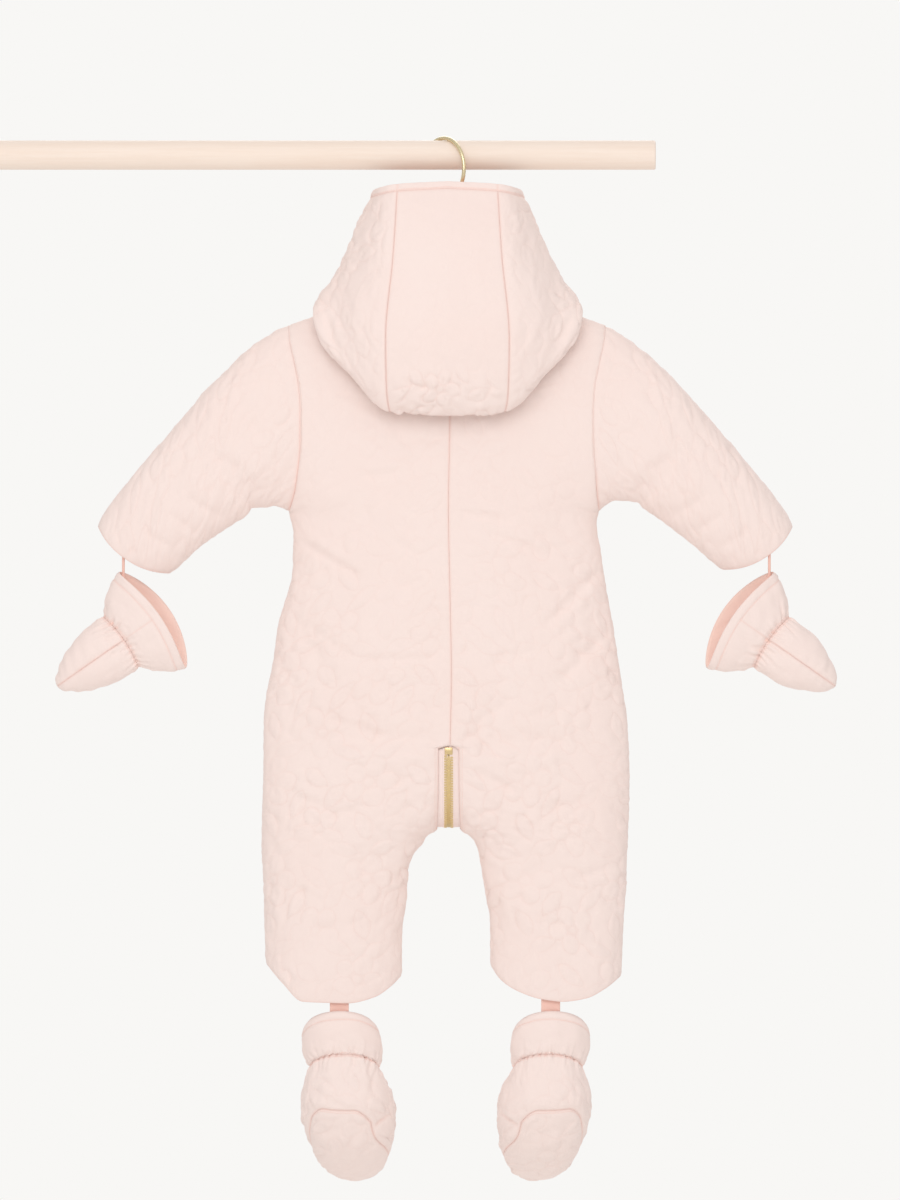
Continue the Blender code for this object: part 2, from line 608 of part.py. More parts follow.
# ------------------------------------------------------------------ sleeves
def sleeve_grid(side):
    """Rings from the armhole to the cuff. Each starts at the top and runs round the back, and its
    first ring is the armhole's own."""
    turns = armhole_shares()
    ring = np.concatenate([turns, 2 * math.pi - turns[-2:0:-1]])
    face = np.where(ring <= math.pi, BACK, FRONT)
    shares = np.linspace(0, 1, SLEEVE_ROWS + 1)
    mirror = np.array([side * 1.0, 1.0])
    top, under = (
        resampled(spline(np.stack([t["half"], 0 * t["half"], t["drop"]], axis=1)), shares)[:, [0, 2]]
        * mirror + [MIRROR_X, 0] for t in (SLEEVE_TOP, SLEEVE_UNDER[side])
    )
    folded = np.minimum(ring, 2 * math.pi - ring)
    root = np.stack([armhole_point(side, *place) for place in zip(face, folded)])
    line = root[0] + (root[ARMHOLE_ROWS] - root[0]) * ((1 - np.cos(ring)) / 2)[:, None]
    bow = root[:, 0] - line[:, 0]
    rows = [root]
    for k in range(1, SLEEVE_ROWS + 1):
        s = shares[k]
        square = 1 - 0.1 * eased(s * 4)
        down = (1 - power(np.cos(ring), square)) / 2
        level = top[k] + (under[k] - top[k]) * down[:, None]
        level[:, 0] += bow * (1 - s) ** 3
        out = np.array([-(under[k] - top[k])[1], (under[k] - top[k])[0]])
        out *= -side / np.linalg.norm(out)
        level += out * (CUFF_BULGE * s**2 * np.sin(ring)[:, None] ** 2)
        depth = smooth(SLEEVE_DEPTH, "depth", s, by="along") * np.abs(np.sin(ring)) ** square
        rows.append(np.stack([level[:, 0], face * depth, level[:, 1]], axis=1))
    return np.array(rows)


def make_sleeve(side, grid, normals):
    u, v = cloth_coordinates(grid)
    seams = seam_margin(grid, around=True)
    half = side * (grid[..., 0] - MIRROR_X)
    rise = quilting(u + 40, v + 10, seams) + fold_rise(SLEEVE_FOLDS, half, grid[..., 2]) * seams
    wall(f"sleeve_{SIDE_NAMES[side]}", grid, normals, rise=rise, around=True, steps=(2, 1))


# ------------------------------------------------------------------ hood
def neck_ring(grids, side):
    """The hood's lower edge on one side: the neckline's own points, twice as close at the back."""
    back, front = (grids[side, face][0, : NECK_COLUMNS + 1] for face in (BACK, FRONT))
    halves = np.arange(2 * NECK_COLUMNS + 1) / 2
    close = np.stack([np.interp(halves, range(NECK_COLUMNS + 1), axis) for axis in back.T], axis=1)
    return np.concatenate([close, front[-2::-1]])


def hood_half(grids, side):
    """Grid of one side of the hood: rows from neck to opening, columns from back to front."""
    ring = neck_ring(grids, side) - [0, 0, HOOD_LIFT]
    places = np.array(HOOD_PLACES)
    net = np.array(list(HOOD.values()), float)
    net = np.stack([HOOD_CENTRE + side * net[..., 0], -net[..., 1], net[..., 2]], axis=-1)
    sections = []
    for j, foot in enumerate(ring):
        stations = [foot] + [
            np.array([curve(places, net[:, k, axis], np.array(float(j))) for axis in range(3)])
            for k in range(len(HOOD_STATIONS))
        ]
        line = spline(stations)
        band = HOOD_BAND / lengths_along(line)[-1]
        shares = np.append(np.linspace(0, 1 - band, HOOD_ROWS + 1), 1)
        sections.append(resampled(line, shares))
    return np.array(sections).transpose(1, 0, 2)


def make_hood(grids):
    """Three panels from the neck to the face opening, and the band along the opening's edge."""
    left, right = hood_half(grids, LEFT), hood_half(grids, RIGHT)
    right[:, 0] = left[:, 0] = (left[:, 0] + right[:, 0]) / 2
    whole = np.concatenate([left[:, :0:-1], right], axis=1)
    u, v = cloth_coordinates(whole)
    middle = left.shape[1] - 1
    normals = grid_normals(whole, False, (0, BACK, 0))
    foot = whole[0] / [NECK_HALF**2, NECK_DEPTH**2, math.inf]
    foot /= np.linalg.norm(foot, axis=1, keepdims=True)
    collar = eased((np.abs(np.arange(len(foot)) - middle)[:, None] - COLLAR_PLACE) / 2)
    normals[0] = foot * collar + normals[0] * (1 - collar)
    normals[0] /= np.linalg.norm(normals[0], axis=1, keepdims=True)
    seam = HOOD_PLACES[1]
    cuts = {"side_left": (0, middle - seam), "centre": (middle - seam, middle + seam),
            "side_right": (middle + seam, 2 * middle)}
    for name, (first, last) in cuts.items():
        piece = whole[:-1, first : last + 1]
        seams = seam_margin(piece, width=10)
        clear = eased((v[:-1, first : last + 1] - HOOD_PLAIN) / HOOD_FADE)
        rise = quilting(u[:-1, first : last + 1] + 20, v[:-1, first : last + 1], seams) * clear
        wall(f"hood_{name}", piece, normals[:-1, first : last + 1], rise=rise)
    wall("hood_band", whole[-2:], normals[-2:])


# ------------------------------------------------------------------ mittens
def mitten_place(side, along, across, y):
    """Mitten coordinates to the table's: along the axis, across it in the picture plane, and y."""
    a = math.radians(MITTEN_ANGLE)
    half = MITTEN_RIM[0] + along * math.cos(a) - across * math.sin(a)
    drop = MITTEN_RIM[1] + along * math.sin(a) + across * math.cos(a)
    return np.stack([MITTEN_X + side * half, MITTEN_Y + y, drop], axis=-1)


def mitten_grid(side):
    """Rings from the open rim over the elastic to the tip. Each starts at its upper corner."""
    cells = 2 * MITTEN_GATHERS
    ring = np.arange(cells) / cells * 2 * math.pi
    cuff = np.linspace(0, MITTEN_WAIST, MITTEN_CUFF_ROWS + 1)
    length = MITTEN["along"][-1]
    hand = MITTEN_WAIST + np.array(MITTEN_HAND_ROWS) * (length - MITTEN_WAIST)
    rows = []
    for at in np.concatenate([cuff, hand]):
        half, depth = (smooth(MITTEN, key, at, by="along") for key in ("half", "depth"))
        pleat = MITTEN_PLEAT * np.exp(-(((at - MITTEN_WAIST) / MITTEN_RUN) ** 2))
        gather = 1 + pleat * np.cos(MITTEN_GATHERS * ring)
        across, y = -half * np.cos(ring) * gather, -depth * np.sin(ring) * gather
        bulge = MITTEN_BULGE * (1 - at / length) ** 3 * np.sin(ring) ** 2 if at < MITTEN_WAIST else 0
        lean = MITTEN_LEAN * (1 - at / MITTEN_WAIST) * np.sin(ring) if at < MITTEN_WAIST else 0
        rows.append(mitten_place(side, at - bulge + lean, across, y))
    return np.array(rows)


def make_mitten(side):
    """The cuff, and the hand's upper and under half."""
    grid = mitten_grid(side)
    cells = grid.shape[1]
    name = f"mitten_{SIDE_NAMES[side]}"
    normals = grid_normals(grid, True, None)
    cuff = np.zeros((len(grid) - 1, cells), bool)
    cuff[:MITTEN_CUFF_ROWS] = True
    upper = ~cuff
    upper[:, cells // 4 : 3 * cells // 4] = False
    u, v = cloth_coordinates(grid)
    puff = PUFF_RISE * (1 + np.cos(u / PUFF_LENGTH * 2 * math.pi)) / 2
    rise = puff * eased(v / 12) * eased((v[-1] - v) / 20)
    for part, keep in {"cuff": cuff, "hand_upper": upper, "hand_under": ~cuff & ~upper}.items():
        tip = part != "cuff"
        wall(f"{name}_{part}", grid, normals, rise=rise * (not tip), keep=keep, around=True, tip=tip,
             thick=LIGHT_CLOTH, steps=(1, 2))


# ------------------------------------------------------------------ booties
def bootie_centre(side, drop):
    return BOOTIE_X[side] - side * BOOTIE_LEAN * (drop - BOOTIE_MIDDLE)


def bootie_grid(side):
    """Rings from the open rim to the ankle, then rings that turn forward to the toe."""
    cells = 2 * BOOTIE_GATHERS
    ring = np.arange(cells) / cells * 2 * math.pi
    rows = []
    rim, ankle = BOOTIE_CUFF["drop"][[0, -1]]
    for share in np.arange(BOOTIE_CUFF_ROWS) / BOOTIE_CUFF_ROWS:
        drop = rim + (ankle - rim) * share
        half, depth = (smooth(BOOTIE_CUFF, key, drop) for key in ("half", "depth"))
        x, y = half * np.cos(ring), -depth * np.sin(ring)
        lift = BOOTIE_BULGE * (1 - share) * np.abs(np.sin(ring)) ** 0.9
        rows.append(np.stack([bootie_centre(side, drop) + x, BOOTIE_Y + y, drop - lift], axis=1))
    for drop, forward, tilt, half, height in zip(*BOOTIE_FOOT.values()):
        t = math.radians(tilt)
        pleat = BOOTIE_PLEAT * math.exp(-(((drop - ankle) / BOOTIE_RUN) ** 2))
        gather = 1 + pleat * np.cos(BOOTIE_GATHERS * ring)
        x, out = half * np.cos(ring) * gather, height * np.sin(ring) * gather
        out -= SOLE_FLAT * height * eased((drop - SOLE_START) / SOLE_FADE) * np.clip(np.sin(ring), 0, 1) ** 2
        y = BOOTIE_Y + forward - out * math.cos(t)
        rows.append(np.stack([bootie_centre(side, drop) + x, y, drop + out * math.sin(t)], axis=1))
    return np.array(rows)


def make_bootie(side):
    """The cuff, the upper, and the sole that wraps the back and underside of the foot."""
    grid = bootie_grid(side)
    cells = grid.shape[1]
    name = f"bootie_{SIDE_NAMES[side]}"
    normals = grid_normals(grid, True, None)
    cuff = np.zeros((len(grid) - 1, cells), bool)
    cuff[:BOOTIE_CUFF_ROWS] = True
    sole = np.zeros_like(cuff)
    first = BOOTIE_CUFF_ROWS + int(np.searchsorted(BOOTIE_FOOT["drop"], SOLE_START))
    sole[first:, 2 : cells // 2 - 2] = True
    u, v = cloth_coordinates(grid)
    rise = quilting(u, v) * eased((v - 40) / 15) * eased((v[-1] - v) / 25) * BOOTIE_QUILT
    for part, keep in {"cuff": cuff, "upper": ~cuff & ~sole, "sole": sole}.items():
        tip = part != "cuff"
        wall(f"{name}_{part}", grid, normals, rise=rise * (part == "upper"), keep=keep, around=True,
             tip=tip, thick=LIGHT_CLOTH, steps=(1, 2))


# ------------------------------------------------------------------ ties, tapes and zip
def sweep(name, path, section, finish, shares=None, level=(1, 0, 0)):
    """A solid that carries a section along a path. level is a fixed direction for the
    section's first axis; shares scale the section at each point."""
    path = np.asarray(path, float)
    tangent = np.gradient(path, axis=0)
    tangent /= np.linalg.norm(tangent, axis=1, keepdims=True)
    points, faces, ring = [], [], len(section)
    side = np.array(level, float)
    for k, (place, ahead) in enumerate(zip(path, tangent)):
        side = side - ahead * np.dot(side, ahead)
        side /= np.linalg.norm(side)
        up = np.cross(ahead, side)
        scale = 1 if shares is None else shares[k]
        points += [place + (side * a + up * b) * scale for a, b in section]
    for k in range(len(path) - 1):
        for j in range(ring):
            near, far = k * ring, (k + 1) * ring
            faces.append([near + j, near + (j + 1) % ring, far + (j + 1) % ring, far + j])
    faces += [list(range(ring)), list(range(len(points) - ring, len(points)))]
    return mesh_object(name, points, faces, finish)


def oval(half_wide, half_high, sides):
    turn = np.arange(sides) / sides * 2 * math.pi
    return list(zip(half_wide * np.cos(turn), half_high * np.sin(turn)))


def make_tie(side):
    """A cord from the inside of the sleeve's cuff to the inside of the mitten's corner."""
    name = f"mitten_{SIDE_NAMES[side]}_tie"
    count = int((TIE_DROPS[1] - TIE_DROPS[0]) / TIE_STEP) + 1
    path = world([(TIE_X[side], MITTEN_Y, drop) for drop in np.linspace(*TIE_DROPS, count)])
    curve_data = bpy.data.curves.new(name, "CURVE")
    curve_data.dimensions = "3D"
    curve_data.bevel_depth = TIE_RADIUS * MM
    curve_data.bevel_resolution = 2
    curve_data.use_fill_caps = True
    spline_data = curve_data.splines.new("POLY")
    spline_data.points.add(count - 1)
    for point, place in zip(spline_data.points, path):
        point.co = (*place, 1)
    obj = bpy.data.objects.new(name, curve_data)
    curve_data.materials.append(named_material(name, "tape"))
    bpy.context.scene.collection.objects.link(obj)


def make_strap(side):
    drops = np.linspace(*STRAP_DROPS, 4)
    path = [(STRAP_X[side], STRAP_Y, drop) for drop in drops]
    half, thin = STRAP_HALF, TAPE / 2
    corners = [(-half, -thin), (half, -thin), (half, thin), (-half, thin)]
    sweep(f"bootie_{SIDE_NAMES[side]}_tape", path, corners, "tape")


def zip_line(grids, normals):
    """The inside of the panels' zip edge, from the front neck under the crotch to the back slit."""
    crotch = ARMHOLE_ROWS + WAIST_ROWS + CROTCH_ROWS
    slit = ARMHOLE_ROWS + WAIST_ROWS + 1
    inside = {
        face: (grids[RIGHT, face] - normals[RIGHT, face] * CLOTH)[:, 0, 1:] for face in (BACK, FRONT)
    }
    chest = ARMHOLE_ROWS + WAIST_ROWS
    return np.concatenate([inside[FRONT][0:chest:2], inside[FRONT][chest : crotch + 1],
                           inside[BACK][crotch - 1 : slit - 1 : -1]])


def mitred(line):
    """For each point of a (y, drop) line, the step that moves it one unit to the inside."""
    ahead = np.diff(line, axis=0)
    ahead /= np.linalg.norm(ahead, axis=1, keepdims=True)
    inward = np.stack([-ahead[:, 1], ahead[:, 0]], axis=1)
    before, after = np.vstack([inward[:1], inward]), np.vstack([inward, inward[-1:]])
    both = before + after
    return both * (2 / (both**2).sum(1, keepdims=True))


def zip_bar(name, line, x0, x1, d0, d1, finish):
    inward = mitred(line)
    points, faces = [], []
    for place, step in zip(line, inward):
        for x, depth in ((x0, d0), (x1, d0), (x1, d1), (x0, d1)):
            points.append((x, *(place + step * depth)))
    for k in range(len(line) - 1):
        for j in range(4):
            near, far = 4 * k, 4 * k + 4
            faces.append([near + j, near + (j + 1) % 4, far + (j + 1) % 4, far + j])
    faces += [[0, 1, 2, 3], [len(points) - n for n in (4, 3, 2, 1)]]
    return mesh_object(name, points, faces, finish)


def part_of(line, start, end):
    """A line from one distance along it to another, with its own points between."""
    along = lengths_along(line)
    kept = [d for d in along if start + 1 < d < end - 1]
    return resampled(line, np.array([start, *kept, end]) / along[-1])


def make_zip(grids, normals):
    line = zip_line(grids, normals)
    total = lengths_along(line)[-1]
    fade = (1 - eased((line[:, 1:] - line[0, 1]) / TUCK_RUN)) * (line[:, :1] > 0)
    tucked = line + fade * [-ZIP_TUCK, 0]
    tape = part_of(tucked, ZIP_START, total)
    for side in (LEFT, RIGHT):
        zip_bar(f"zip_tape_{SIDE_NAMES[side]}", tape, ZIP_X + side * (CHAIN_HALF + SEAM_GAP),
                ZIP_X + side * TAPE_REACH, SEAM_GAP, SEAM_GAP + TAPE, "quilt")
    middle = SEAM_GAP + TAPE / 2
    near, far = middle - CHAIN_THICK / 2, middle + CHAIN_THICK / 2
    slider_end = ZIP_START + SLIDER_LENGTH + 2 * SEAM_GAP
    stop_start = total - STOP_DROPS[1] + STOP_DROPS[0]
    chain = part_of(tucked, slider_end, stop_start - 2 * SEAM_GAP)
    zip_bar("zip_chain", chain, ZIP_X - CHAIN_HALF, ZIP_X + CHAIN_HALF, near, far, "brass")
    stop = part_of(line, stop_start, total)
    zip_bar("zip_end_piece", stop, ZIP_X - CHAIN_HALF, ZIP_X + CHAIN_HALF,
            near - STOP_PROUD, far + STOP_PROUD, "brass")
    make_slider(part_of(tucked, ZIP_START, slider_end)[0], middle)


def block(name, lo, hi):
    """A closed box between two corners, in table coordinates."""
    points = [(x, y, d) for x in (lo[0], hi[0]) for y in (lo[1], hi[1]) for d in (lo[2], hi[2])]
    faces = [(0, 1, 3, 2), (4, 6, 7, 5), (0, 4, 5, 1), (2, 3, 7, 6), (0, 2, 6, 4), (1, 5, 7, 3)]
    return mesh_object(name, points, faces, "brass", smooth_shaded=False)


def combine(target, helper, operation):
    helper.hide_render = True
    helper.display_type = "WIRE"
    change = target.modifiers.new(helper.name, "BOOLEAN")
    change.operation = operation
    change.solver = "EXACT"
    change.object = helper


def make_slider(top, middle):
    """The slider at the top of the front: two plates joined by a post, with a bridge that holds
    the pull tab's bar. The plates run along the zip, which is upright here."""
    y, drop = top[0] - middle, top[1] + SEAM_GAP
    low = drop + SLIDER_LENGTH
    bar = drop + SLIDER_LENGTH / 2
    back, back_in = y - SLIDER_SLOT - SLIDER_PLATE, y - SLIDER_SLOT
    face_in, face = y + SLIDER_SLOT, y + SLIDER_SLOT + SLIDER_PLATE
    half, inner_half = BRIDGE_LENGTH / 2, BRIDGE_LENGTH / 2 - BRIDGE_WALL

    def slider_block(name, half_wide, y0, y1, d0, d1):
        return block(name, (ZIP_X - half_wide, y0, d0), (ZIP_X + half_wide, y1, d1))

    slider = slider_block("zip_slider", SLIDER_HALF, face_in, face, drop, low)
    plate = slider_block("slider_back", SLIDER_HALF, back, back_in, drop, low)
    post = slider_block("slider_post", POST_HALF, back_in - FUSE, face_in + FUSE,
                        drop + POST_START, low - POST_SHORT)
    bridge = slider_block("slider_bridge", BRIDGE_HALF, face - FUSE, face + BRIDGE_RISE + BRIDGE_WALL,
                          bar - half, bar + half)
    window = slider_block("slider_window", SLIDER_HALF, face, face + BRIDGE_RISE,
                          bar - inner_half, bar + inner_half)
    for helper in (plate, post, bridge):
        combine(slider, helper, "UNION")
    combine(slider, window, "DIFFERENCE")
    make_pull(np.array([ZIP_X, face + BRIDGE_RISE / 2, bar]))


def make_pull(axis):
    """The pull tab hangs from its bar, which lies under the slider's bridge."""
    x, y, drop = axis
    half = PULL_THICK / 2
    wide = PULL_WIDTH / 2
    edge = list(zip(PULL_NECK["half"], [-half, *PULL_NECK["drop"][1:]]))
    edge += [(wide, PULL_LENGTH - PULL_CORNER), (wide - PULL_CORNER, PULL_LENGTH)]
    outline = edge + [(-a, b) for a, b in edge[::-1]]
    points = [(x + a, y + side * half, drop + b) for side in (-1, 1) for a, b in outline]
    count = len(outline)
    faces = [list(range(count)), list(range(count, 2 * count))]
    faces += [[k, (k + 1) % count, count + (k + 1) % count, count + k] for k in range(count)]
    pull = mesh_object("zip_pull", points, faces, "brass", smooth_shaded=False)
    window = block("pull_window", (x - PULL_WINDOW / 2, y - PULL_THICK, drop + half),
                   (x + PULL_WINDOW / 2, y + PULL_THICK, drop + PULL_WINDOW_END))
    combine(pull, window, "DIFFERENCE")
    place = world(axis)
    pull.data.transform(Matrix.Translation(-Vector(place)))
    pull.location = place


# ------------------------------------------------------------------ hanger, hook and rod
def make_hanger():
    """The arms, which follow the shoulder seams inside. Returns the drop of their middle's top."""
    slope = (SHOULDER_DROP - NECK_DROP) / (ARMHOLE["left"][0] - NECK_HALF)
    under = (CLOTH + HANGER_SLACK + HANGER_HEIGHT / 2) * math.hypot(1, slope)
    x = np.linspace(-HANGER_REACH, HANGER_REACH, HANGER_POINTS)
    drop = NECK_DROP + under + slope * (np.hypot(x, HANGER_CROWN) - NECK_HALF)
    tip = (np.abs(x) / (HANGER_REACH + HANGER_TIP)) ** HANGER_TIP_POWER
    shares = np.maximum(np.sqrt(1 - tip), HANGER_TIP_SHARE)
    path = np.stack([x, 0 * x, drop], axis=1)
    section = oval(HANGER_HEIGHT / 2, HANGER_DEPTH / 2, HANGER_SIDES)
    sweep("hanger_arms", path, section, "wood", shares, (0, 0, 1))
    return drop[len(drop) // 2] - HANGER_HEIGHT / 2


def make_hook(top):
    """A ring's arc over the rod, then a bend in to the shank that stands on the hanger."""
    centre = ROD_RADIUS + SEAM_GAP + WIRE_RADIUS - HOOK_RADIUS
    turn = math.radians(HOOK_TURN)
    arc = np.radians(np.linspace(*HOOK_ARC, HOOK_POINTS))
    reach = HOOK_RADIUS * np.cos(arc)
    ring = np.stack([HOOK_X + reach * math.cos(turn), -reach * math.sin(turn),
                     -centre - HOOK_RADIUS * np.sin(arc)], axis=1)
    ahead = ring[-1] - ring[-2]
    ahead /= np.linalg.norm(ahead)
    foot = np.array([0, 0, top - SEAM_GAP])
    share = np.linspace(0, 1, SHANK_POINTS + 1)[1:, None]
    bend = (
        (1 - share) ** 3 * ring[-1] + 3 * (1 - share) ** 2 * share * (ring[-1] + ahead * SHANK_BEND)
        + 3 * (1 - share) * share**2 * (foot - [0, 0, SHANK_BEND]) + share**3 * foot
    )
    path = np.concatenate([ring, bend])
    shares = np.ones(len(path))
    shares[0] = 0.5
    sweep("hook", path, oval(WIRE_RADIUS, WIRE_RADIUS, WIRE_SIDES), "brass", shares)


def make_rod():
    path = [(x, 0, 0) for x in (-GARMENT_X, ROD_RIGHT - ROD_EDGE, ROD_RIGHT)]
    shares = [1, 1, 1 - ROD_EDGE / ROD_RADIUS]
    sweep("rod", path, oval(ROD_RADIUS, ROD_RADIUS, ROD_SIDES), "wood", shares, (0, 1, 0))


# ------------------------------------------------------------------ run
def clear_scene():
    for obj in list(bpy.data.objects):
        bpy.data.objects.remove(obj, do_unlink=True)


def main():
    clear_scene()
    grids = {(side, face): body_grid(side, face) for side in (LEFT, RIGHT) for face in (BACK, FRONT)}
    grids |= {(side, None): sleeve_grid(side) for side in (LEFT, RIGHT)}
    normals = shared_normals(grids)
    make_body(grids, normals)
    make_hood(grids)
    make_zip(grids, normals)
    for side in (LEFT, RIGHT):
        make_sleeve(side, grids[side, None], normals[side, None])
        make_mitten(side)
        make_tie(side)
        make_bootie(side)
        make_strap(side)
    make_hook(make_hanger())
    make_rod()


main()
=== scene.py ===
"""The looks of a padded, quilted baby snowsuit that hangs by its hanger's hook on a round wood rod.

Sizes in the tables are millimetres. A "drop" is a distance below the rod's axis, a "half" is
measured from the garment's centre plane, "left" is -X, and the garment's back faces -Y. The world
origin is the centre of the rod's left end, and GARMENT_X is the garment's centre from there.
"""

import math

import bmesh
import bpy
import numpy as np
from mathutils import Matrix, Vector

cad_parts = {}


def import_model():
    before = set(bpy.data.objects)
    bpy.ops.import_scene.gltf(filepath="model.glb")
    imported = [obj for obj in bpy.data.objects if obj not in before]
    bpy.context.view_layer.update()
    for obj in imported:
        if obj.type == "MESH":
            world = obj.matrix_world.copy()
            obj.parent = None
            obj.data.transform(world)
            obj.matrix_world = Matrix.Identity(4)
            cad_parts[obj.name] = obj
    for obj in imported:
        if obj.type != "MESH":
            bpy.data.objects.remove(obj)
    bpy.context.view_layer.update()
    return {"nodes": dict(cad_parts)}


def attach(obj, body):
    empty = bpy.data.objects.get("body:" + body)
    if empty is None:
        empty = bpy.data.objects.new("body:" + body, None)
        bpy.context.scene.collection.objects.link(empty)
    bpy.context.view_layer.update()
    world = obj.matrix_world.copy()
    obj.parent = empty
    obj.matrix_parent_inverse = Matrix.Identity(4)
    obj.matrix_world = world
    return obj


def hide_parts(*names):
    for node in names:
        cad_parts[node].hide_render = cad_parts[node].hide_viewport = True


bl_info = {
    "name": "Quilted baby snowsuit",
    "version": (1, 0, 0),
    "blender": (4, 5, 0),
    "location": "3D View > Sidebar > Snowsuit",
    "description": "Makes the cloth, zip, mittens, booties, hanger and rod of a quilted baby snowsuit",
    "category": "Object",
}

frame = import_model()

MM = 0.001
GARMENT_X = 430.0
BACK, FRONT = -1, 1
LEFT, RIGHT = -1, 1
SIDE_NAMES = {LEFT: "left", RIGHT: "right"}
FACE_NAMES = {BACK: "back", FRONT: "front"}
GARMENT, PULL = "garment", "pull"


def columns(names, *rows):
    """The named columns of a small table, each as an array."""
    return dict(zip(names.split(), np.array(rows, float).T))


# ------------------------------------------------------------------ sizes of the garment
CLOTH, LIGHT_CLOTH, THIN_EDGE = 3.0, 2.0, 0.7
TAPE = 1.2
SEAM_GAP, EDGE_TRIM = 0.3, 0.03
SECTION_POWER = 2.3

ROD_RADIUS, ROD_RIGHT, ROD_EDGE = 13.5, 191.5, 1.5
WIRE_RADIUS = 1.8
HOOK_RADIUS, HOOK_X, HOOK_TURN = 28.5, -4.0, 49.0
HOOK_ARC, SHANK_BEND = (176.0, -36.0), 42.0
HANGER_DEPTH, HANGER_HEIGHT, HANGER_REACH, HANGER_SLACK = 6.0, 12.0, 132.0, 1.4
HANGER_CROWN, HANGER_TIP, HANGER_TIP_POWER = 18.0, 1.5, 16

BODY = columns(
    "drop left right",
    (329, 147, 139.5), (337, 145, 137.5), (348, 142.6, 138), (364, 143, 141), (383, 143.5, 143.5),
    (404, 148, 147), (432, 156.5, 152), (471, 162, 158), (497, 167.5, 162), (521, 170, 165.5),
    (571, 170.5, 167.5), (638, 172, 165.5), (673, 170, 164), (705, 169.5, 162), (752, 168, 160),
)
HALF_DEPTH = columns(
    "drop depth",
    (150, 28), (240, 32), (330, 35), (450, 38), (544, 41), (623, 38), (700, 34), (781, 31),
)
CENTRE_SEAM = columns("drop x", (130, 1), (240, 1.8), (325, 0.5), (400, 1.8), (480, 3.2), (545, 2))
INNER_LEG = columns(
    "drop left right",
    (623, 8.9, 10.1), (626, 17.5, 18.4), (636, 24, 25.8), (643, 31, 28), (661, 37, 31.5),
    (691, 39, 36), (710, 42, 39), (752, 42.5, 39),
)
# The hem dips in the middle of each leg; "across" runs from the inner to the outer side.
HEM = columns(
    "across left right",
    (0, 757, 748), (0.07, 765.5, 759.5), (0.2, 776, 770), (0.4, 781.5, 778), (0.55, 781, 780),
    (0.73, 780, 777), (0.88, 763, 768), (1, 746, 757),
)
ARMHOLE = columns(
    "drop left right",
    (157, 148, 146), (169, 147, 145), (194, 141.7, 140), (215, 138, 136.3), (238, 136.6, 135),
    (268, 136.6, 135), (294, 139, 136.5), (312, 141.7, 137.5), (329, 147, 139.5),
)
ARMHOLE_DEPTH = 29.0
SHOULDER_DROP, UNDERARM_DROP = 157.0, 329.0
SHOULDER_ROUND = 42.0
NECK_HALF, NECK_DROP, NECK_DEPTH = 60.0, 126.0, 31.0
NECK_DIP, NECK_SLOPE = {BACK: 12.0, FRONT: 48.0}, 0.5
ZIP_X, ZIP_HALF, SLIT_DROP, CROTCH_DROP = 0.6, 9.5, 544.0, 623.0
HEM_DROP, HEM_START = 752.0, 650.0

# Sleeve outlines: "half" is measured from MIRROR_X. Both sleeves share the upper line.
MIRROR_X = -2.5
SLEEVE_TOP = columns(
    "half drop",
    (144, 157), (154, 161), (181, 180), (199, 196), (222, 219), (251, 253), (281, 287),
    (303, 315), (312.5, 328), (321, 342),
)
SLEEVE_UNDER = {
    LEFT: columns(
        "half drop",
        (144, 329), (157.5, 324), (167.5, 325.5), (178, 325.5), (181.5, 331), (195.5, 340.5),
        (212, 351.5), (228.5, 363.5), (241.5, 376), (254, 386.5),
    ),
    RIGHT: columns(
        "half drop",
        (142, 329), (149, 322.5), (158, 319), (176.5, 320.5), (182, 325.5), (196.5, 335.5),
        (213, 348), (228, 359.5), (241, 371), (255.5, 383),
    ),
}
SLEEVE_DEPTH = columns("along depth", (0, 29), (0.3, 31), (0.7, 29), (1, 25))
CUFF_BULGE = 11.0

# The hood's sections, from the centre back round to the front edge. Each point is given by its
# half, its distance behind the garment's middle plane, and its drop.
HOOD_CENTRE = -0.5
HOOD_STATIONS = "shelf return fold low belly crown edge".split()
HOOD = {
    "centre": [(0, 39, 152), (0, 41, 200), (0, 52, 241), (0, 68, 222), (0, 77, 165), (0, 60, 85),
               (0, 34, 25)],
    "seam": [(36, 38.5, 148), (50, 41, 196), (53, 50, 238), (56, 63, 219), (57, 71, 172),
             (50, 57, 92), (46, 34, 27.5)],
    "corner": [(56, 35, 142), (76, 39, 178), (86, 46, 207), (93, 53, 191), (91, 55, 158),
               (72, 45, 92), (60, 27, 30)],
    "shoulder": [(76, 9, 117), (106, 27, 139), (119, 33, 160), (123.5, 30, 147), (106.5, 17, 118),
                 (86, 6, 73), (69, 0, 34)],
    "ridge": [(64, -5, 109), (90, -3, 118), (109, -2, 132), (112, -6, 126), (99, -12, 110),
              (84, -10, 78), (68, -9, 42)],
    "cheek": [(50, -25, 139), (82, -32, 138), (96, -38, 146), (99, -42, 138), (90, -43, 120),
              (76, -36, 92), (60, -24, 62)],
    "front": [(14, -40, 171), (19, -43, 167), (24, -45, 163), (28, -46, 158), (31, -47, 152),
              (33, -47, 146), (35, -46, 139)],
}
# Places of those sections along the neck ring, and the place where the foot turns into a collar.
HOOD_PLACES, COLLAR_PLACE = (0, 6, 9, 12, 13.2, 15, 18), 10.5
HOOD_BAND, HOOD_BAND_ROWS, HOOD_LIFT = 7.0, 8, 0.5
HOOD_PLAIN, HOOD_FADE = 110.0, 30.0

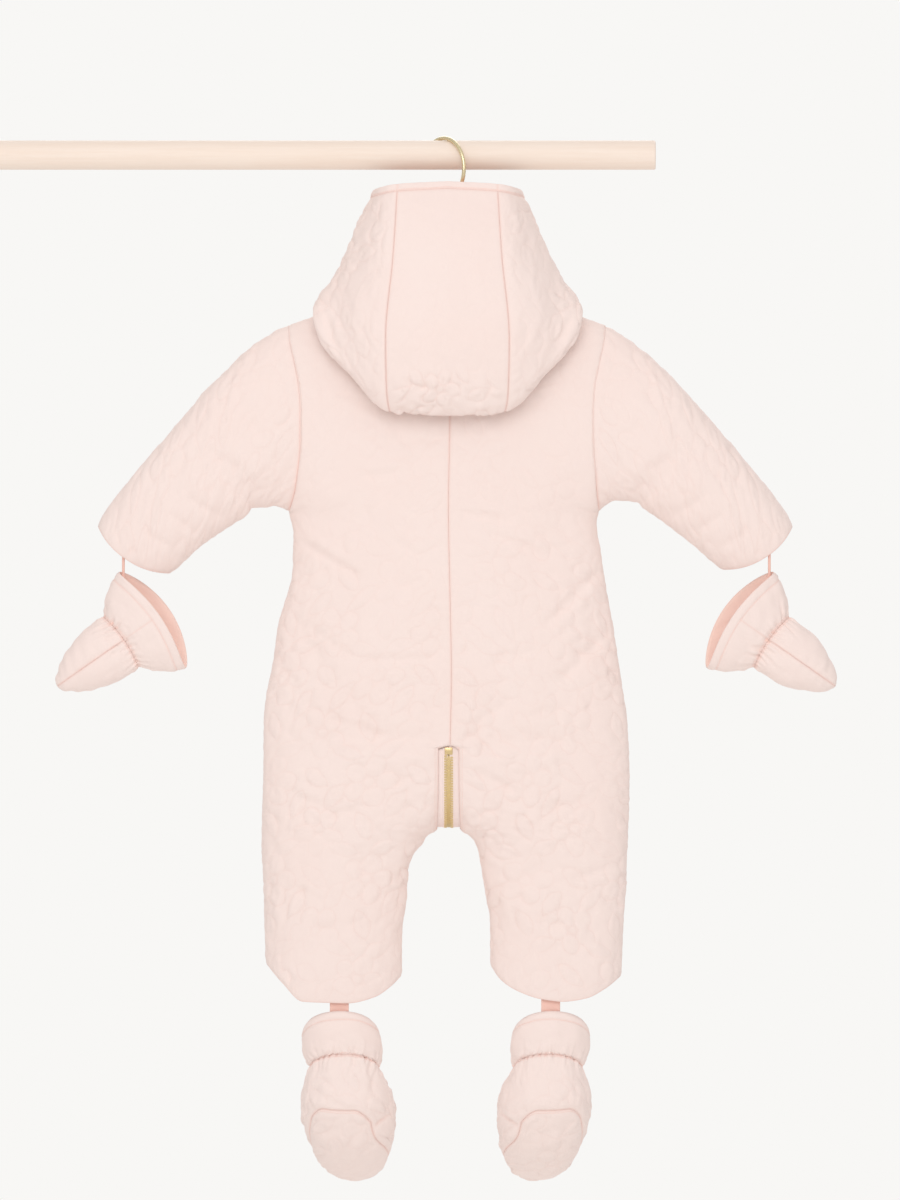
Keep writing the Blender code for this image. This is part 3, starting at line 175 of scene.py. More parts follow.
MITTEN = columns(
    "along half depth",
    (0, 54.5, 23), (10, 50.5, 22), (21, 43, 20), (29, 36, 17.5), (35.5, 28.5, 14.5), (42, 29.3, 17),
    (50, 29, 19), (65, 27, 19.5), (80, 22.5, 17), (93, 15.5, 12.5), (102, 8.5, 7.5), (107, 0, 0),
)
MITTEN_RIM, MITTEN_ANGLE, MITTEN_X, MITTEN_Y = (270.5, 428.7), 34.9, -1.5, -19.9
MITTEN_WAIST, MITTEN_BULGE, MITTEN_LEAN = 35.5, 13.0, 5.0
MITTEN_GATHERS, MITTEN_PLEAT, MITTEN_RUN = 12, 0.03, 7.0
MITTEN_SETTLE = 15.0

BOOTIE_X, BOOTIE_Y = {LEFT: -94.5, RIGHT: 90.8}, -9.3
BOOTIE_LEAN, BOOTIE_MIDDLE = 0.095, 855.0
BOOTIE_CUFF = columns(
    "drop half depth",
    (806, 34, 22.5), (816, 36.4, 25), (823, 36.6, 26), (834, 34.5, 25.5), (842, 31.5, 24),
)
BOOTIE_FOOT = columns(
    "drop forward tilt half height",
    (842, 0, 0, 31.5, 24), (853, 1, 4, 37, 30), (867, 4, 13, 41.8, 35.5), (878, 8, 22, 43, 37),
    (889, 13, 32, 42, 37), (901, 22, 42, 40, 34), (913, 33, 48, 37, 29), (925, 44, 51, 32, 23),
    (935, 54, 52, 24, 16), (942, 62, 52, 12, 8), (945, 65, 52, 0, 0),
)
BOOTIE_BULGE, FAR_RIM = 18.0, 2.4
BOOTIE_GATHERS, BOOTIE_PLEAT, BOOTIE_RUN = 12, 0.028, 8.0
ELASTIC_ARCH, ARCH_KNOTS = 14.0, 1.7
SOLE_START, SOLE_FLAT, SOLE_FADE = 867.0, 0.12, 20.0
# Where the sole starts, in knots of BOOTIE_FOOT, in its middle and at its corners, and how far
# its seams stand from the bootie's sides, in degrees, by knot.
SOLE_MIDDLE, SOLE_CORNERS, SOLE_SHARE = 2.3, 3.15, 0.45
SOLE_SEAMS = columns(
    "knot inner outer",
    (0, 30, 30), (2.3, 58, 38), (3.1, 60, 37), (3.9, 57, 30), (5.4, 32, 18), (7, 10, 5), (10, 5, 4),
)

TIE_RADIUS, TIE_X, TIE_DROPS, TIE_STEP = 1.3, {LEFT: -298.9, RIGHT: 295.9}, (359.0, 396.0), 3.0
STRAP_HALF, STRAP_X, STRAP_Y, STRAP_DROPS = 8.7, {LEFT: -100.0, RIGHT: 94.5}, -27.0, (766.0, 806.0)

CHAIN_THICK = 2.2
ZIP_START, ZIP_TUCK, TUCK_RUN, TAPE_REACH = 3.0, 1.2, 90.0, 14.5
STOP_DROPS = (548.5, 555.0)
SLIDER_LENGTH = 14.0

# Folds pressed into the cloth: a line from start to end, its half-width and its rise.
FOLD_FADE = 18.0
FOLDS = {
    BACK: columns(
        "x0 drop0 x1 drop1 wide rise",
        (-120, 536, 118, 541, 9, -2.6), (-110, 552, 112, 557, 10, 2.2),
        (-146, 419, -108, 474, 9, -2.8), (-128, 425, -92, 482, 10, 2.0),
        (-30, 500, -14, 538, 6, 1.6), (28, 496, 12, 536, 6, 1.6),
        (110, 470, 150, 430, 9, -2.4), (-96, 640, -60, 668, 9, -2.2), (92, 646, 60, 676, 9, -2.2),
    ),
    FRONT: columns(
        "x0 drop0 x1 drop1 wide rise",
        (-116, 540, -30, 548, 9, -2.4), (30, 546, 120, 536, 9, -2.4),
        (-146, 430, -110, 486, 9, -2.4), (108, 480, 148, 436, 9, -2.4),
        (-92, 648, -60, 672, 9, -2.0), (90, 642, 58, 670, 9, -2.0),
    ),
}
SLEEVE_FOLDS = columns(
    "x0 drop0 x1 drop1 wide rise",
    (174, 320, 214, 282, 8, -2.6), (166, 304, 200, 262, 9, 1.8), (194, 334, 222, 330, 7, -2.2),
    (212, 318, 250, 288, 9, 1.6),
)

# Small creases in the cloth, listed as the folds are, and a factor for their rise.
CREASE_STRONG = 1.35
CREASES = {
    BACK: columns(
        "x0 drop0 x1 drop1 wide rise",
        (3, 329, 64, 339, 3.6, -1.2), (6, 323, 58, 330, 4, 0.7), (-46, 264, 4, 262, 4, -0.9),
        (-94, 298, -14, 291, 5, -1.0), (-90, 291, -24, 284, 5, 0.6), (27, 345, 98, 373, 5, -1.2),
        (36, 341, 100, 365, 5, 0.7), (14, 411, 62, 426, 4, -1.0), (-144, 352, -76, 393, 4.2, -1.6),
        (-136, 347, -80, 382, 5, 0.9), (-134, 431, -82, 468, 4.5, -1.9), (-86, 466, -2, 464, 4.6, -1.4),
        (-80, 459, -10, 457, 5, 0.8), (-66, 476, -44, 501, 3.6, -1.3), (84, 440, 145, 377, 4.6, -1.7),
        (92, 443, 150, 388, 5, 0.9), (94, 491, 155, 436, 5, -1.8), (14, 533, 62, 498, 4.2, -1.4),
        (-118, 515, -56, 537, 4.4, -1.5), (-60, 350, -22, 372, 4.5, -0.9),
        (-52, 402, -10, 392, 5, -1.0),
        (36, 470, 92, 452, 5, -1.2), (66, 520, 120, 505, 4.4, -1.3), (-148, 590, -100, 604, 5, -1.4),
        (-120, 612, -70, 600, 5, -1.2), (-60, 585, -20, 566, 4.5, -1.4), (24, 568, 70, 590, 4.6, -1.5),
        (80, 606, 140, 592, 5, -1.2), (-154, 672, -110, 690, 5, -1.5), (-128, 716, -70, 705, 5, -1.2),
        (70, 702, 120, 716, 5, -1.2), (108, 668, 154, 656, 5, -1.4), (-40, 655, -70, 640, 4.5, -1.2),
        (40, 640, 78, 652, 4.5, -1.2), (-100, 215, -62, 236, 5, -0.8), (98, 214, 66, 238, 5, -0.8),
        (-20, 548, -60, 552, 4.5, -1.3), (22, 547, 58, 552, 4.5, -1.3),
    ),
    FRONT: columns(
        "x0 drop0 x1 drop1 wide rise",
        (-110, 250, -40, 262, 5, -1.1), (40, 265, 112, 252, 5, -1.1), (-140, 352, -80, 388, 4.5, -1.6),
        (82, 390, 142, 350, 4.5, -1.6), (-80, 320, -24, 312, 5, -1.0), (26, 330, 84, 342, 5, -1.1),
        (-120, 470, -60, 450, 5, -1.3), (60, 462, 122, 478, 5, -1.3), (-70, 410, -20, 424, 4.5, -1.1),
        (24, 418, 74, 402, 4.5, -1.1), (-140, 516, -84, 532, 4.5, -1.5), (86, 530, 146, 512, 4.5, -1.5),
        (-120, 600, -64, 588, 5, -1.3), (60, 590, 124, 606, 5, -1.3), (-150, 680, -104, 694, 5, -1.4),
        (104, 690, 150, 676, 5, -1.4), (-90, 712, -54, 702, 5, -1.1), (56, 704, 92, 716, 5, -1.1),
    ),
}
SLEEVE_CREASES = columns(
    "x0 drop0 x1 drop1 wide rise",
    (172, 330, 205, 300, 4, -1.4), (180, 296, 226, 268, 4.5, -1.3), (206, 336, 244, 312, 4.4, -1.3),
    (160, 268, 190, 236, 5, -1.0), (226, 352, 262, 326, 4.4, -1.2), (246, 366, 286, 344, 4.4, -1.1),
    (210, 262, 244, 262, 5, -0.9), (176, 218, 206, 232, 5, -0.8), (250, 300, 286, 306, 5, -0.9),
)


# ------------------------------------------------------------------ fineness of the cloth grids
NECK_COLUMNS, SHOULDER_COLUMNS = 42, 42
ARMHOLE_ROWS, WAIST_ROWS, CROTCH_ROWS, LEG_ROWS = 84, 96, 50, 60
SLEEVE_ROWS, HOOD_ROWS = 104, 160
MITTEN_COLUMNS, MITTEN_CUFF_ROWS, MITTEN_HAND_ROWS = 208, 36, 66
BOOTIE_COLUMNS, BOOTIE_CUFF_ROWS, BOOTIE_FOOT_ROWS = 240, 34, 90
# The rows over which the hood's faces turn from the neck's to its own.
NECK_BLEND = 9
# Sizes of the first steps next to a seam, as shares of a full step.
SEAM_STEPS = (0.25, 0.4, 0.6, 0.8)


# ------------------------------------------------------------------ quilting, seams and finer forms
SOFT_REACH, SOFT_EDGE, SOFT_DROPS = 9.0, 28.0, (190.0, 735.0)
QUILT_TILE = 92.0
FLOWER_RADIUS, PETALS, PETAL_DEPTH, EYE_RADIUS = 24.0, 5, 0.18, 8.0
LEAF_LONG, LEAF_WIDE = 30.0, 14.0
# Motifs of one repeat: where each stands, its turn, and whether it is a flower or a leaf.
MOTIFS = (
    ("flower", 22, 24, 0), ("flower", 68, 70, 25), ("leaf", 66, 22, 35), ("leaf", 84, 38, -50),
    ("leaf", 20, 66, 70), ("leaf", 38, 86, -20), ("leaf", 46, 46, 120), ("leaf", 2, 88, 15),
)
TILE_STEP = 0.5
OUTLINE_FAR = 20.0
GATHER_RISE, GATHER_DEEPEST = 1.2, -1.3
RIM_SHARE, RIM_WIDE = 0.3, 1.6
PETAL_PLACE, PETAL_LONG, PETAL_WIDE = 14.6, 9.4, 8.5
EYE = 4.6
WARP, WARP_LENGTH = 3.0, 120.0
FINE_WARP, FINE_WARP_LENGTH = 1.0, 19.0
STEMS = (
    ((34, 42), (40, 54), (34, 70), (38, 78)), ((56, 82), (50, 88), (46, 88)),
    ((44, 30), (52, 24), (58, 16)), ((74, 50), (82, 48), (88, 50)), ((14, 44), (10, 54), (16, 58)),
)
CRUMPLE, CRUMPLE_LENGTH = 0.42, 9.5
PUFF, PUFF_LENGTH = 0.65, 21.0
SEAM_WIDE, PUCKER, SEAM_TINT = 2.2, 0.34, 0.55
ZIP_EDGE_SINK, ZIP_EDGE_WIDE = 1.0, 4.0
CROTCH_SINK, CROTCH_WIDE = 1.6, 6.5
PATTERN_SHIFT = {LEFT: 0.0, RIGHT: 41.0}
# Strength of the quilting at the top of the body, and the drop and length of its rise below.
PLAIN_BACK, PLAIN_FRONT, PLAIN_DROPS = 0.4, 0.7, (300.0, 180.0)
SLEEVE_QUILT = 0.75
# Where the centre panel's flowers fade, their size against the others, and the pattern's place.
HOOD_FLOWERS, HOOD_SMALL, HOOD_SHIFTS = (142.0, 20.0), 1.2, (60.0, 30.0, 14.0)
HOOD_STRONG = {"centre": 1.3, "side_left": 0.8, "side_right": 0.8}
HOOD_FOLDS = columns(
    "x0 drop0 x1 drop1 wide rise",
    (-116, 142, -98, 184, 4, -2.4), (-110, 146, -92, 188, 4.5, 1.4), (116, 142, 98, 182, 4, -2.4),
    (110, 146, 92, 186, 4.5, 1.4), (-60, 232, -20, 236, 4, -1.0), (10, 228, 56, 224, 4, -1.0),
    (-40, 72, 6, 82, 6, -0.6), (-30, 108, 30, 104, 7, -0.6), (12, 140, 48, 150, 6, -0.6),
)
# Longer creases of a mitten, as the folds are listed, but for the right one.
MITTEN_FOLDS = columns(
    "x0 drop0 x1 drop1 wide rise",
    (296, 448, 318, 470, 2.2, -1.2), (312, 452, 338, 476, 2.4, -1.2), (300, 470, 322, 484, 2.4, -0.9),
    (268, 414, 286, 434, 2.4, -1.0), (262, 440, 284, 456, 2.6, -0.9), (326, 462, 350, 486, 2.4, -0.9),
    (276, 466, 296, 478, 2.2, -0.9),
)
CUFF_HEM = 8.0
# The short side seam of the upper, and soft folds of the foot, as the folds are listed, with x
# from the bootie's middle to its outer side.
BOOTIE_DART = columns("x0 drop0 x1 drop1 wide rise", (-20, 899, -46, 880, 1.3, -1.8))
BOOTIE_FOLDS = columns(
    "x0 drop0 x1 drop1 wide rise",
    (-30, 842, -20, 868, 2.6, -1.2), (12, 846, 34, 862, 2.6, -1.1), (-6, 850, 2, 872, 3, -0.8),
    (24, 868, 38, 884, 2.6, -0.9), (-14, 902, 12, 926, 3, -0.8), (-4, 892, 22, 902, 3, -0.8),
)
TAPE_INNER, TAPE_SLIT, TAPE_CORD, TAPE_CLOSE, TAPE_RISE = 1.9, 0.22, 5.6, 0.97, 4.0
TOOTH_REACH = 4.2
STITCH_LIFT, ZIP_STITCH, ELASTIC_STITCH = 0.05, 3.0, 1.7
VIEW_X, VIEW_DROP, PIXEL = 450, 600, 0.92
VIEW_DISTANCE = 12.0
FLOOR_DROP, FLOOR_REACH = 0.95, 6.0
BACKDROP = (0.9725, 0.9686, 0.9608)
# How much brighter the light from all round is in front and above, and in front and behind alike.
SKY_LEAN, SKY_BROAD = (0.0, -0.06, 0.36), 0.5


def size(key):
    """A size that the user may change, in millimetres."""
    return getattr(bpy.context.scene.snowsuit_sizes, key) / MM


# ------------------------------------------------------------------ curves
def curve(xs, ys, at):
    """A cubic through points that never swings past them."""
    xs, ys = np.asarray(xs, float), np.asarray(ys, float)
    step = np.diff(xs)
    slope = np.diff(ys) / step
    rate = np.zeros(len(ys))
    rate[0], rate[-1] = slope[0], slope[-1]
    for i in range(1, len(ys) - 1):
        if slope[i - 1] * slope[i] > 0:
            near, far = 2 * step[i] + step[i - 1], step[i] + 2 * step[i - 1]
            rate[i] = (near + far) / (near / slope[i - 1] + far / slope[i])
    at = np.clip(at, xs[0], xs[-1])
    i = np.clip(np.searchsorted(xs, at, side="right") - 1, 0, len(xs) - 2)
    t = (at - xs[i]) / step[i]
    return (
        (2 * t**3 - 3 * t**2 + 1) * ys[i] + (t**3 - 2 * t**2 + t) * step[i] * rate[i]
        + (3 * t**2 - 2 * t**3) * ys[i + 1] + (t**3 - t**2) * step[i] * rate[i + 1]
    )


def smooth(table, key, at, by="drop"):
    return curve(table[by], table[key], at)


def lengths_along(points):
    return np.concatenate([[0], np.cumsum(np.linalg.norm(np.diff(points, axis=0), axis=1))])


def resampled(points, shares):
    """Points at these shares of a polyline's length."""
    along = lengths_along(points)
    at = np.multiply(shares, along[-1])
    return np.stack([np.interp(at, along, axis) for axis in points.T], axis=1)


def spline(points, count=400):
    """A smooth polyline through a few points."""
    points = np.array(points, float)
    along = lengths_along(points)
    at = np.linspace(0, along[-1], count)
    return np.stack([curve(along, axis, at) for axis in points.T], axis=1)


def power(value, exponent):
    return np.sign(value) * np.abs(value) ** exponent


def eased(value):
    value = np.clip(value, 0, 1)
    return value * value * (3 - 2 * value)


def bell(away, wide):
    """1 on a line, and less and less over a width to both sides of it."""
    return np.exp(-((away / wide) ** 2))


def close_at_ends(count, first=True, last=True):
    """Shares from 0 to 1 whose steps get small next to a seam."""
    step = np.ones(count)
    if first:
        step[: len(SEAM_STEPS)] = SEAM_STEPS
    if last:
        step[-len(SEAM_STEPS):] = SEAM_STEPS[::-1]
    return np.concatenate([[0], np.cumsum(step)]) / step.sum()


def world(points):
    """Table coordinates (x, y, drop) as metres from the rod's left end."""
    points = np.asarray(points, float)
    return np.stack([points[..., 0] + GARMENT_X, points[..., 1], -points[..., 2]], axis=-1) * MM


# ------------------------------------------------------------------ the garment's grids
def armhole_shares():
    """Turns round the armhole for its rows, even along its curve."""
    turn = np.linspace(0, math.pi, 1200)
    height = UNDERARM_DROP - SHOULDER_DROP
    ring = np.stack([(1 - np.cos(turn)) / 2 * height, ARMHOLE_DEPTH * np.sin(turn)], axis=1)
    along = lengths_along(ring)
    return np.interp(np.linspace(0, along[-1], ARMHOLE_ROWS + 1), along, turn)


def armhole_point(side, face, turn):
    drop = SHOULDER_DROP + (1 - np.cos(turn)) / 2 * (UNDERARM_DROP - SHOULDER_DROP)
    x = side * smooth(ARMHOLE, SIDE_NAMES[side], drop)
    return np.stack([x, face * ARMHOLE_DEPTH * np.sin(turn), drop], axis=-1)


def top_drop(half, side, face):
    """Drop of the neckline, then of the straight shoulder seam."""
    reach = smooth(ARMHOLE, SIDE_NAMES[side], SHOULDER_DROP)
    slope = (SHOULDER_DROP - NECK_DROP) / (reach - NECK_HALF)
    dip = np.sqrt(np.clip(1 - (half / NECK_HALF) ** 2, 0, 1))
    return np.where(
        half < NECK_HALF, NECK_DROP + NECK_DIP[face] * dip, NECK_DROP + (half - NECK_HALF) * slope
    )


def inner_x(side, face, drop):
    """The panel's edge at the centre: the back seam, or the zip's edge."""
    zip_edge = ZIP_X + side * ZIP_HALF
    if face == FRONT:
        return zip_edge
    return np.where(drop > SLIT_DROP + 1, zip_edge, smooth(CENTRE_SEAM, "x", drop))


def upper_row(side, face, turn, count=500):
    """A row of the body between the shoulder and the underarm, centre to armhole, as a polyline."""
    w = (1 - math.cos(turn)) / 2
    edge = armhole_point(side, face, np.array(turn))
    angle = np.linspace(math.pi / 2, 0, count)
    across = np.cos(angle) ** (2 / SECTION_POWER)
    near_edge = 1 - np.sin(angle) ** (2 / SECTION_POWER)
    shoulder = abs(armhole_point(side, face, np.array(0.0))[0])
    centre = NECK_DROP + NECK_DIP[face]
    start = inner_x(side, face, np.array(centre + w * (UNDERARM_DROP - centre)))
    half_top = side * start + across * (shoulder - side * start)
    top = top_drop(half_top, side, face)
    drop = top + w * (UNDERARM_DROP - top)
    x = start + across * (edge[0] - start)
    fall = np.clip((drop - top) / SHOULDER_ROUND, 0, 1)
    rounded = np.sqrt(1 - (1 - fall) ** 2)
    neck = NECK_DEPTH * np.sqrt(np.clip(1 - (half_top / NECK_HALF) ** 2, 0, 1))
    depth = smooth(HALF_DEPTH, "depth", drop)
    y = (1 - near_edge) * (neck * (1 - rounded) + depth * rounded)
    y = y * face + near_edge * edge[1]
    return np.stack([x, y, drop], axis=1), half_top


def crotch_close(drop):
    """How far a section has closed round each leg: 0 at the slit, 1 from the crotch down."""
    return np.clip((drop - SLIT_DROP) / (CROTCH_DROP - SLIT_DROP), 0, 1) ** 1.4


def lower_drops():
    """Drops of the rows below the underarm, even along the zip's curve under the crotch."""
    near = np.linspace(SLIT_DROP + 2, CROTCH_DROP, 800)
    depth = smooth(HALF_DEPTH, "depth", near)
    edge = depth * (1 - crotch_close(near) ** SECTION_POWER) ** (1 / SECTION_POWER)
    along = lengths_along(np.stack([edge, near], axis=1))
    crotch = np.interp(np.linspace(0, along[-1], CROTCH_ROWS), along, near)
    waist = np.linspace(UNDERARM_DROP, SLIT_DROP, WAIST_ROWS + 1)[1:]
    share = close_at_ends(LEG_ROWS, first=False)[1:]
    leg = CROTCH_DROP + (HEM_DROP - CROTCH_DROP) * share ** 1.2
    return np.concatenate([waist, crotch, leg])


def lower_row(side, face, drop, count=500):
    """A row below the underarm: half a section of the body, closing to a leg's below the crotch."""
    close = crotch_close(drop)
    outer = side * smooth(BODY, SIDE_NAMES[side], drop)
    start = inner_x(side, face, np.array(drop))
    if drop > CROTCH_DROP:
        start = side * smooth(INNER_LEG, SIDE_NAMES[side], drop)
    semi = (outer - start) / (1 + close)
    angle = np.linspace(math.acos(-(close ** (SECTION_POWER / 2))), 0, count)
    x = outer - semi + semi * power(np.cos(angle), 2 / SECTION_POWER)
    y = face * smooth(HALF_DEPTH, "depth", drop) * np.abs(np.sin(angle)) ** (2 / SECTION_POWER)
    if close == 1:
        y[0] = 0
    y[-1] = 0
    across = (x - start) / (outer - start)
    fade = eased((drop - HEM_START) / (HEM_DROP - HEM_START))
    fall = drop + fade * (smooth(HEM, SIDE_NAMES[side], across, by="across") - HEM_DROP)
    return np.stack([x, y, fall], axis=1)


def body_grid(side, face):
    cells = NECK_COLUMNS + SHOULDER_COLUMNS
    even = close_at_ends(cells)
    shoulder = close_at_ends(SHOULDER_COLUMNS, first=False)
    rows = []
    for k, turn in enumerate(armhole_shares()):
        line, half_top = upper_row(side, face, turn)
        if k == 0:
            along = lengths_along(line) / lengths_along(line)[-1]
            neck = np.interp(NECK_HALF, half_top, along)
            first = np.concatenate(
                [np.linspace(0, neck, NECK_COLUMNS + 1), neck + (1 - neck) * shoulder[1:]])
        share = eased(k / ARMHOLE_ROWS * 1.6)
        rows.append(resampled(line, first * (1 - share) + even * share))
    seam = shoulder[:, None]
    neck_point = np.array([side * NECK_HALF, 0, NECK_DROP])
    rows[0][NECK_COLUMNS:] = neck_point + seam * (armhole_point(side, face, np.array(0.0)) - neck_point)
    rows += [resampled(lower_row(side, face, drop), even) for drop in lower_drops()]
    return softened(np.array(rows))


def softened(grid):
    """The body's grid with the creases across it at the underarm and the crotch smoothed away, but
    its edges kept."""
    u, v = cloth_coordinates(grid)
    edge = np.minimum(u, u[:, -1:] - u)
    share = (
        eased(edge / SOFT_EDGE) * eased((grid[..., 2] - SOFT_DROPS[0]) / SOFT_EDGE)
        * eased((SOFT_DROPS[1] - grid[..., 2]) / SOFT_EDGE)
    )
    result = grid.copy()
    for j in range(grid.shape[1]):
        along = v[:, j]
        near = bell(along[:, None] - along[None], SOFT_REACH) * np.gradient(along)
        near /= near.sum(1, keepdims=True)
        result[:, j] += (near @ grid[:, j] - grid[:, j]) * share[:, j, None]
    return result


def sleeve_grid(side):
    """Rings from the armhole to the cuff. Each starts at the top and runs round the back, and its
    first ring is the armhole's own."""
    turns = armhole_shares()
    ring = np.concatenate([turns, 2 * math.pi - turns[-2:0:-1]])
    face = np.where(ring <= math.pi, BACK, FRONT)
    shares = close_at_ends(SLEEVE_ROWS)
    mirror = np.array([side * 1.0, 1.0])
    top, under = (
        resampled(spline(np.stack([t["half"], 0 * t["half"], t["drop"]], axis=1)), shares)[:, [0, 2]]
        * mirror + [MIRROR_X, 0] for t in (SLEEVE_TOP, SLEEVE_UNDER[side])
    )
    folded = np.minimum(ring, 2 * math.pi - ring)
    root = np.stack([armhole_point(side, *place) for place in zip(face, folded)])
    line = root[0] + (root[ARMHOLE_ROWS] - root[0]) * ((1 - np.cos(ring)) / 2)[:, None]
    bow = root[:, 0] - line[:, 0]
    rows = [root]
    for k in range(1, SLEEVE_ROWS + 1):
        s = shares[k]
        square = 1 - 0.1 * eased(s * 4)
        down = (1 - power(np.cos(ring), square)) / 2
        level = top[k] + (under[k] - top[k]) * down[:, None]
        level[:, 0] += bow * (1 - s) ** 3
        out = np.array([-(under[k] - top[k])[1], (under[k] - top[k])[0]])
        out *= -side / np.linalg.norm(out)
        level += out * (CUFF_BULGE * s**2 * np.sin(ring)[:, None] ** 2)
        depth = smooth(SLEEVE_DEPTH, "depth", s, by="along") * np.abs(np.sin(ring)) ** square
        rows.append(np.stack([level[:, 0], face * depth, level[:, 1]], axis=1))
    return np.array(rows)


def grid_normals(grid, around, outward):
    """Unit normals of a grid of points, on the side that outward points to."""
    if around:
        across = np.roll(grid, -1, 1) - np.roll(grid, 1, 1)
    else:
        across = np.gradient(grid, axis=1)
    normal = np.cross(across, np.gradient(grid, axis=0))
    size = np.linalg.norm(normal, axis=2, keepdims=True)
    normal = normal / np.maximum(size, 1e-9)
    away = grid - grid.mean((0, 1)) if outward is None else np.array(outward, float)
    return normal if (normal * away * size).sum() > 0 else -normal


def shared_normals(grids):
    """Normals of the body and sleeves, made equal where their seams' points meet."""
    normals = {
        key: grid_normals(grid, key[1] is None, None if key[1] is None else (0, key[1], 0))
        for key, grid in grids.items()
    }
    total = {}
    edges = {}
    for key, grid in grids.items():
        mask = np.zeros(grid.shape[:2], bool)
        mask[0] = mask[:, 0] = mask[:, -1] = True
        mask[-1] = key[1] is not None
        edges[key] = np.argwhere(mask)
        for i, j in edges[key]:
            place = tuple(np.round(grid[i, j], 3) + 0.0)
            total[place] = total.get(place, 0) + normals[key][i, j]
    for key, grid in grids.items():
        for i, j in edges[key]:
            merged = total[tuple(np.round(grid[i, j], 3) + 0.0)]
            normals[key][i, j] = merged / np.linalg.norm(merged)
    for side in (LEFT, RIGHT):
        neck = normals[side, FRONT][0, :NECK_COLUMNS] - [0, 0, NECK_SLOPE]
        normals[side, FRONT][0, :NECK_COLUMNS] = neck / np.linalg.norm(neck, axis=1, keepdims=True)
    return normals


def neck_ring(grids, side):
    """The hood's lower edge on one side: the neckline's own points, twice as close at the back."""
    back, front = (grids[side, face][0, : NECK_COLUMNS + 1] for face in (BACK, FRONT))
    halves = np.arange(2 * NECK_COLUMNS + 1) / 2
    close = np.stack([np.interp(halves, range(NECK_COLUMNS + 1), axis) for axis in back.T], axis=1)
    return np.concatenate([close, front[-2::-1]])


def hood_half(grids, side):
    """Grid of one side of the hood: rows from neck to opening, columns from back to front."""
    ring = neck_ring(grids, side) - [0, 0, HOOD_LIFT]
    places = np.array(HOOD_PLACES)
    scale = places[-1] / (len(ring) - 1)
    net = np.array(list(HOOD.values()), float)
    net = np.stack([HOOD_CENTRE + side * net[..., 0], -net[..., 1], net[..., 2]], axis=-1)
    sections = []
    for j, foot in enumerate(ring):
        stations = [foot] + [
            np.array([curve(places, net[:, k, axis], np.array(j * scale)) for axis in range(3)])
            for k in range(len(HOOD_STATIONS))
        ]
        line = spline(stations)
        band = HOOD_BAND / lengths_along(line)[-1]
        main = close_at_ends(HOOD_ROWS) * (1 - band)
        edge = 1 - band + close_at_ends(HOOD_BAND_ROWS) * band
        sections.append(resampled(line, np.concatenate([main, edge[1:]])))
    return np.array(sections).transpose(1, 0, 2)


def mitten_place(side, along, across, y):
    """Mitten coordinates to the table's: along the axis, across it in the upright plane, and y."""
    a = math.radians(MITTEN_ANGLE)
    half = MITTEN_RIM[0] + along * math.cos(a) - across * math.sin(a)
    drop = MITTEN_RIM[1] + along * math.sin(a) + across * math.cos(a)
    return np.stack([MITTEN_X + side * half, MITTEN_Y + y, drop], axis=-1)


def rounded_curve(xs, ys, at):
    """As curve, but on the squares, so that a form ends round where it closes."""
    return np.sqrt(np.clip(curve(xs, np.asarray(ys) ** 2, at), 0, None))


def gathers(ring, count, seed):
    """Uneven small pleats round an elastic, from -1 to 1."""
    waves = np.cos(count * ring)
    for harmonic, size in ((0.5, 0.35), (1.6, 0.45), (2.3, 0.35), (3.1, 0.2)):
        turns = round(count * harmonic)
        waves = waves + size * np.cos(turns * ring + seed * 1.7 + harmonic * 5)
    return waves / 1.6


def mitten_rows():
    """Places of the mitten's rows along its axis."""
    cuff = np.linspace(0, MITTEN_WAIST, MITTEN_CUFF_ROWS + 1)
    turn = np.linspace(0, math.pi / 2, MITTEN_HAND_ROWS + 1)[1:]
    share = np.sin(turn) * 0.55 + turn / (math.pi / 2) * 0.45
    return np.concatenate([cuff, MITTEN_WAIST + share * (MITTEN["along"][-1] - MITTEN_WAIST)])


def mitten_grid(side):
    """Rings from the open rim over the elastic to the tip. Each starts at its upper corner."""
    ring = np.arange(MITTEN_COLUMNS) / MITTEN_COLUMNS * 2 * math.pi
    length = MITTEN["along"][-1]
    rows = []
    for at in mitten_rows():
        half, depth = (rounded_curve(MITTEN["along"], MITTEN[key], at) for key in ("half", "depth"))
        run = MITTEN_RUN if at < MITTEN_WAIST else MITTEN_RUN * 1.5
        pleat = MITTEN_PLEAT * bell(at - MITTEN_WAIST, run)
        gather = 1 + pleat * gathers(ring, MITTEN_GATHERS, side)
        across, y = -half * np.cos(ring) * gather, -depth * np.sin(ring) * gather
        bulge = MITTEN_BULGE * (1 - min(at, MITTEN_WAIST) / length) ** 3
        bulge *= (1 - np.clip((at - MITTEN_WAIST) / MITTEN_SETTLE, 0, 1)) ** 2 * np.sin(ring) ** 2
        lean = MITTEN_LEAN * (1 - at / MITTEN_WAIST) * np.sin(ring) if at < MITTEN_WAIST else 0
        rows.append(mitten_place(side, at - bulge + lean, across, y))
    return np.array(rows)


def bootie_centre(side, drop):
    return BOOTIE_X[side] - side * BOOTIE_LEAN * (drop - BOOTIE_MIDDLE)


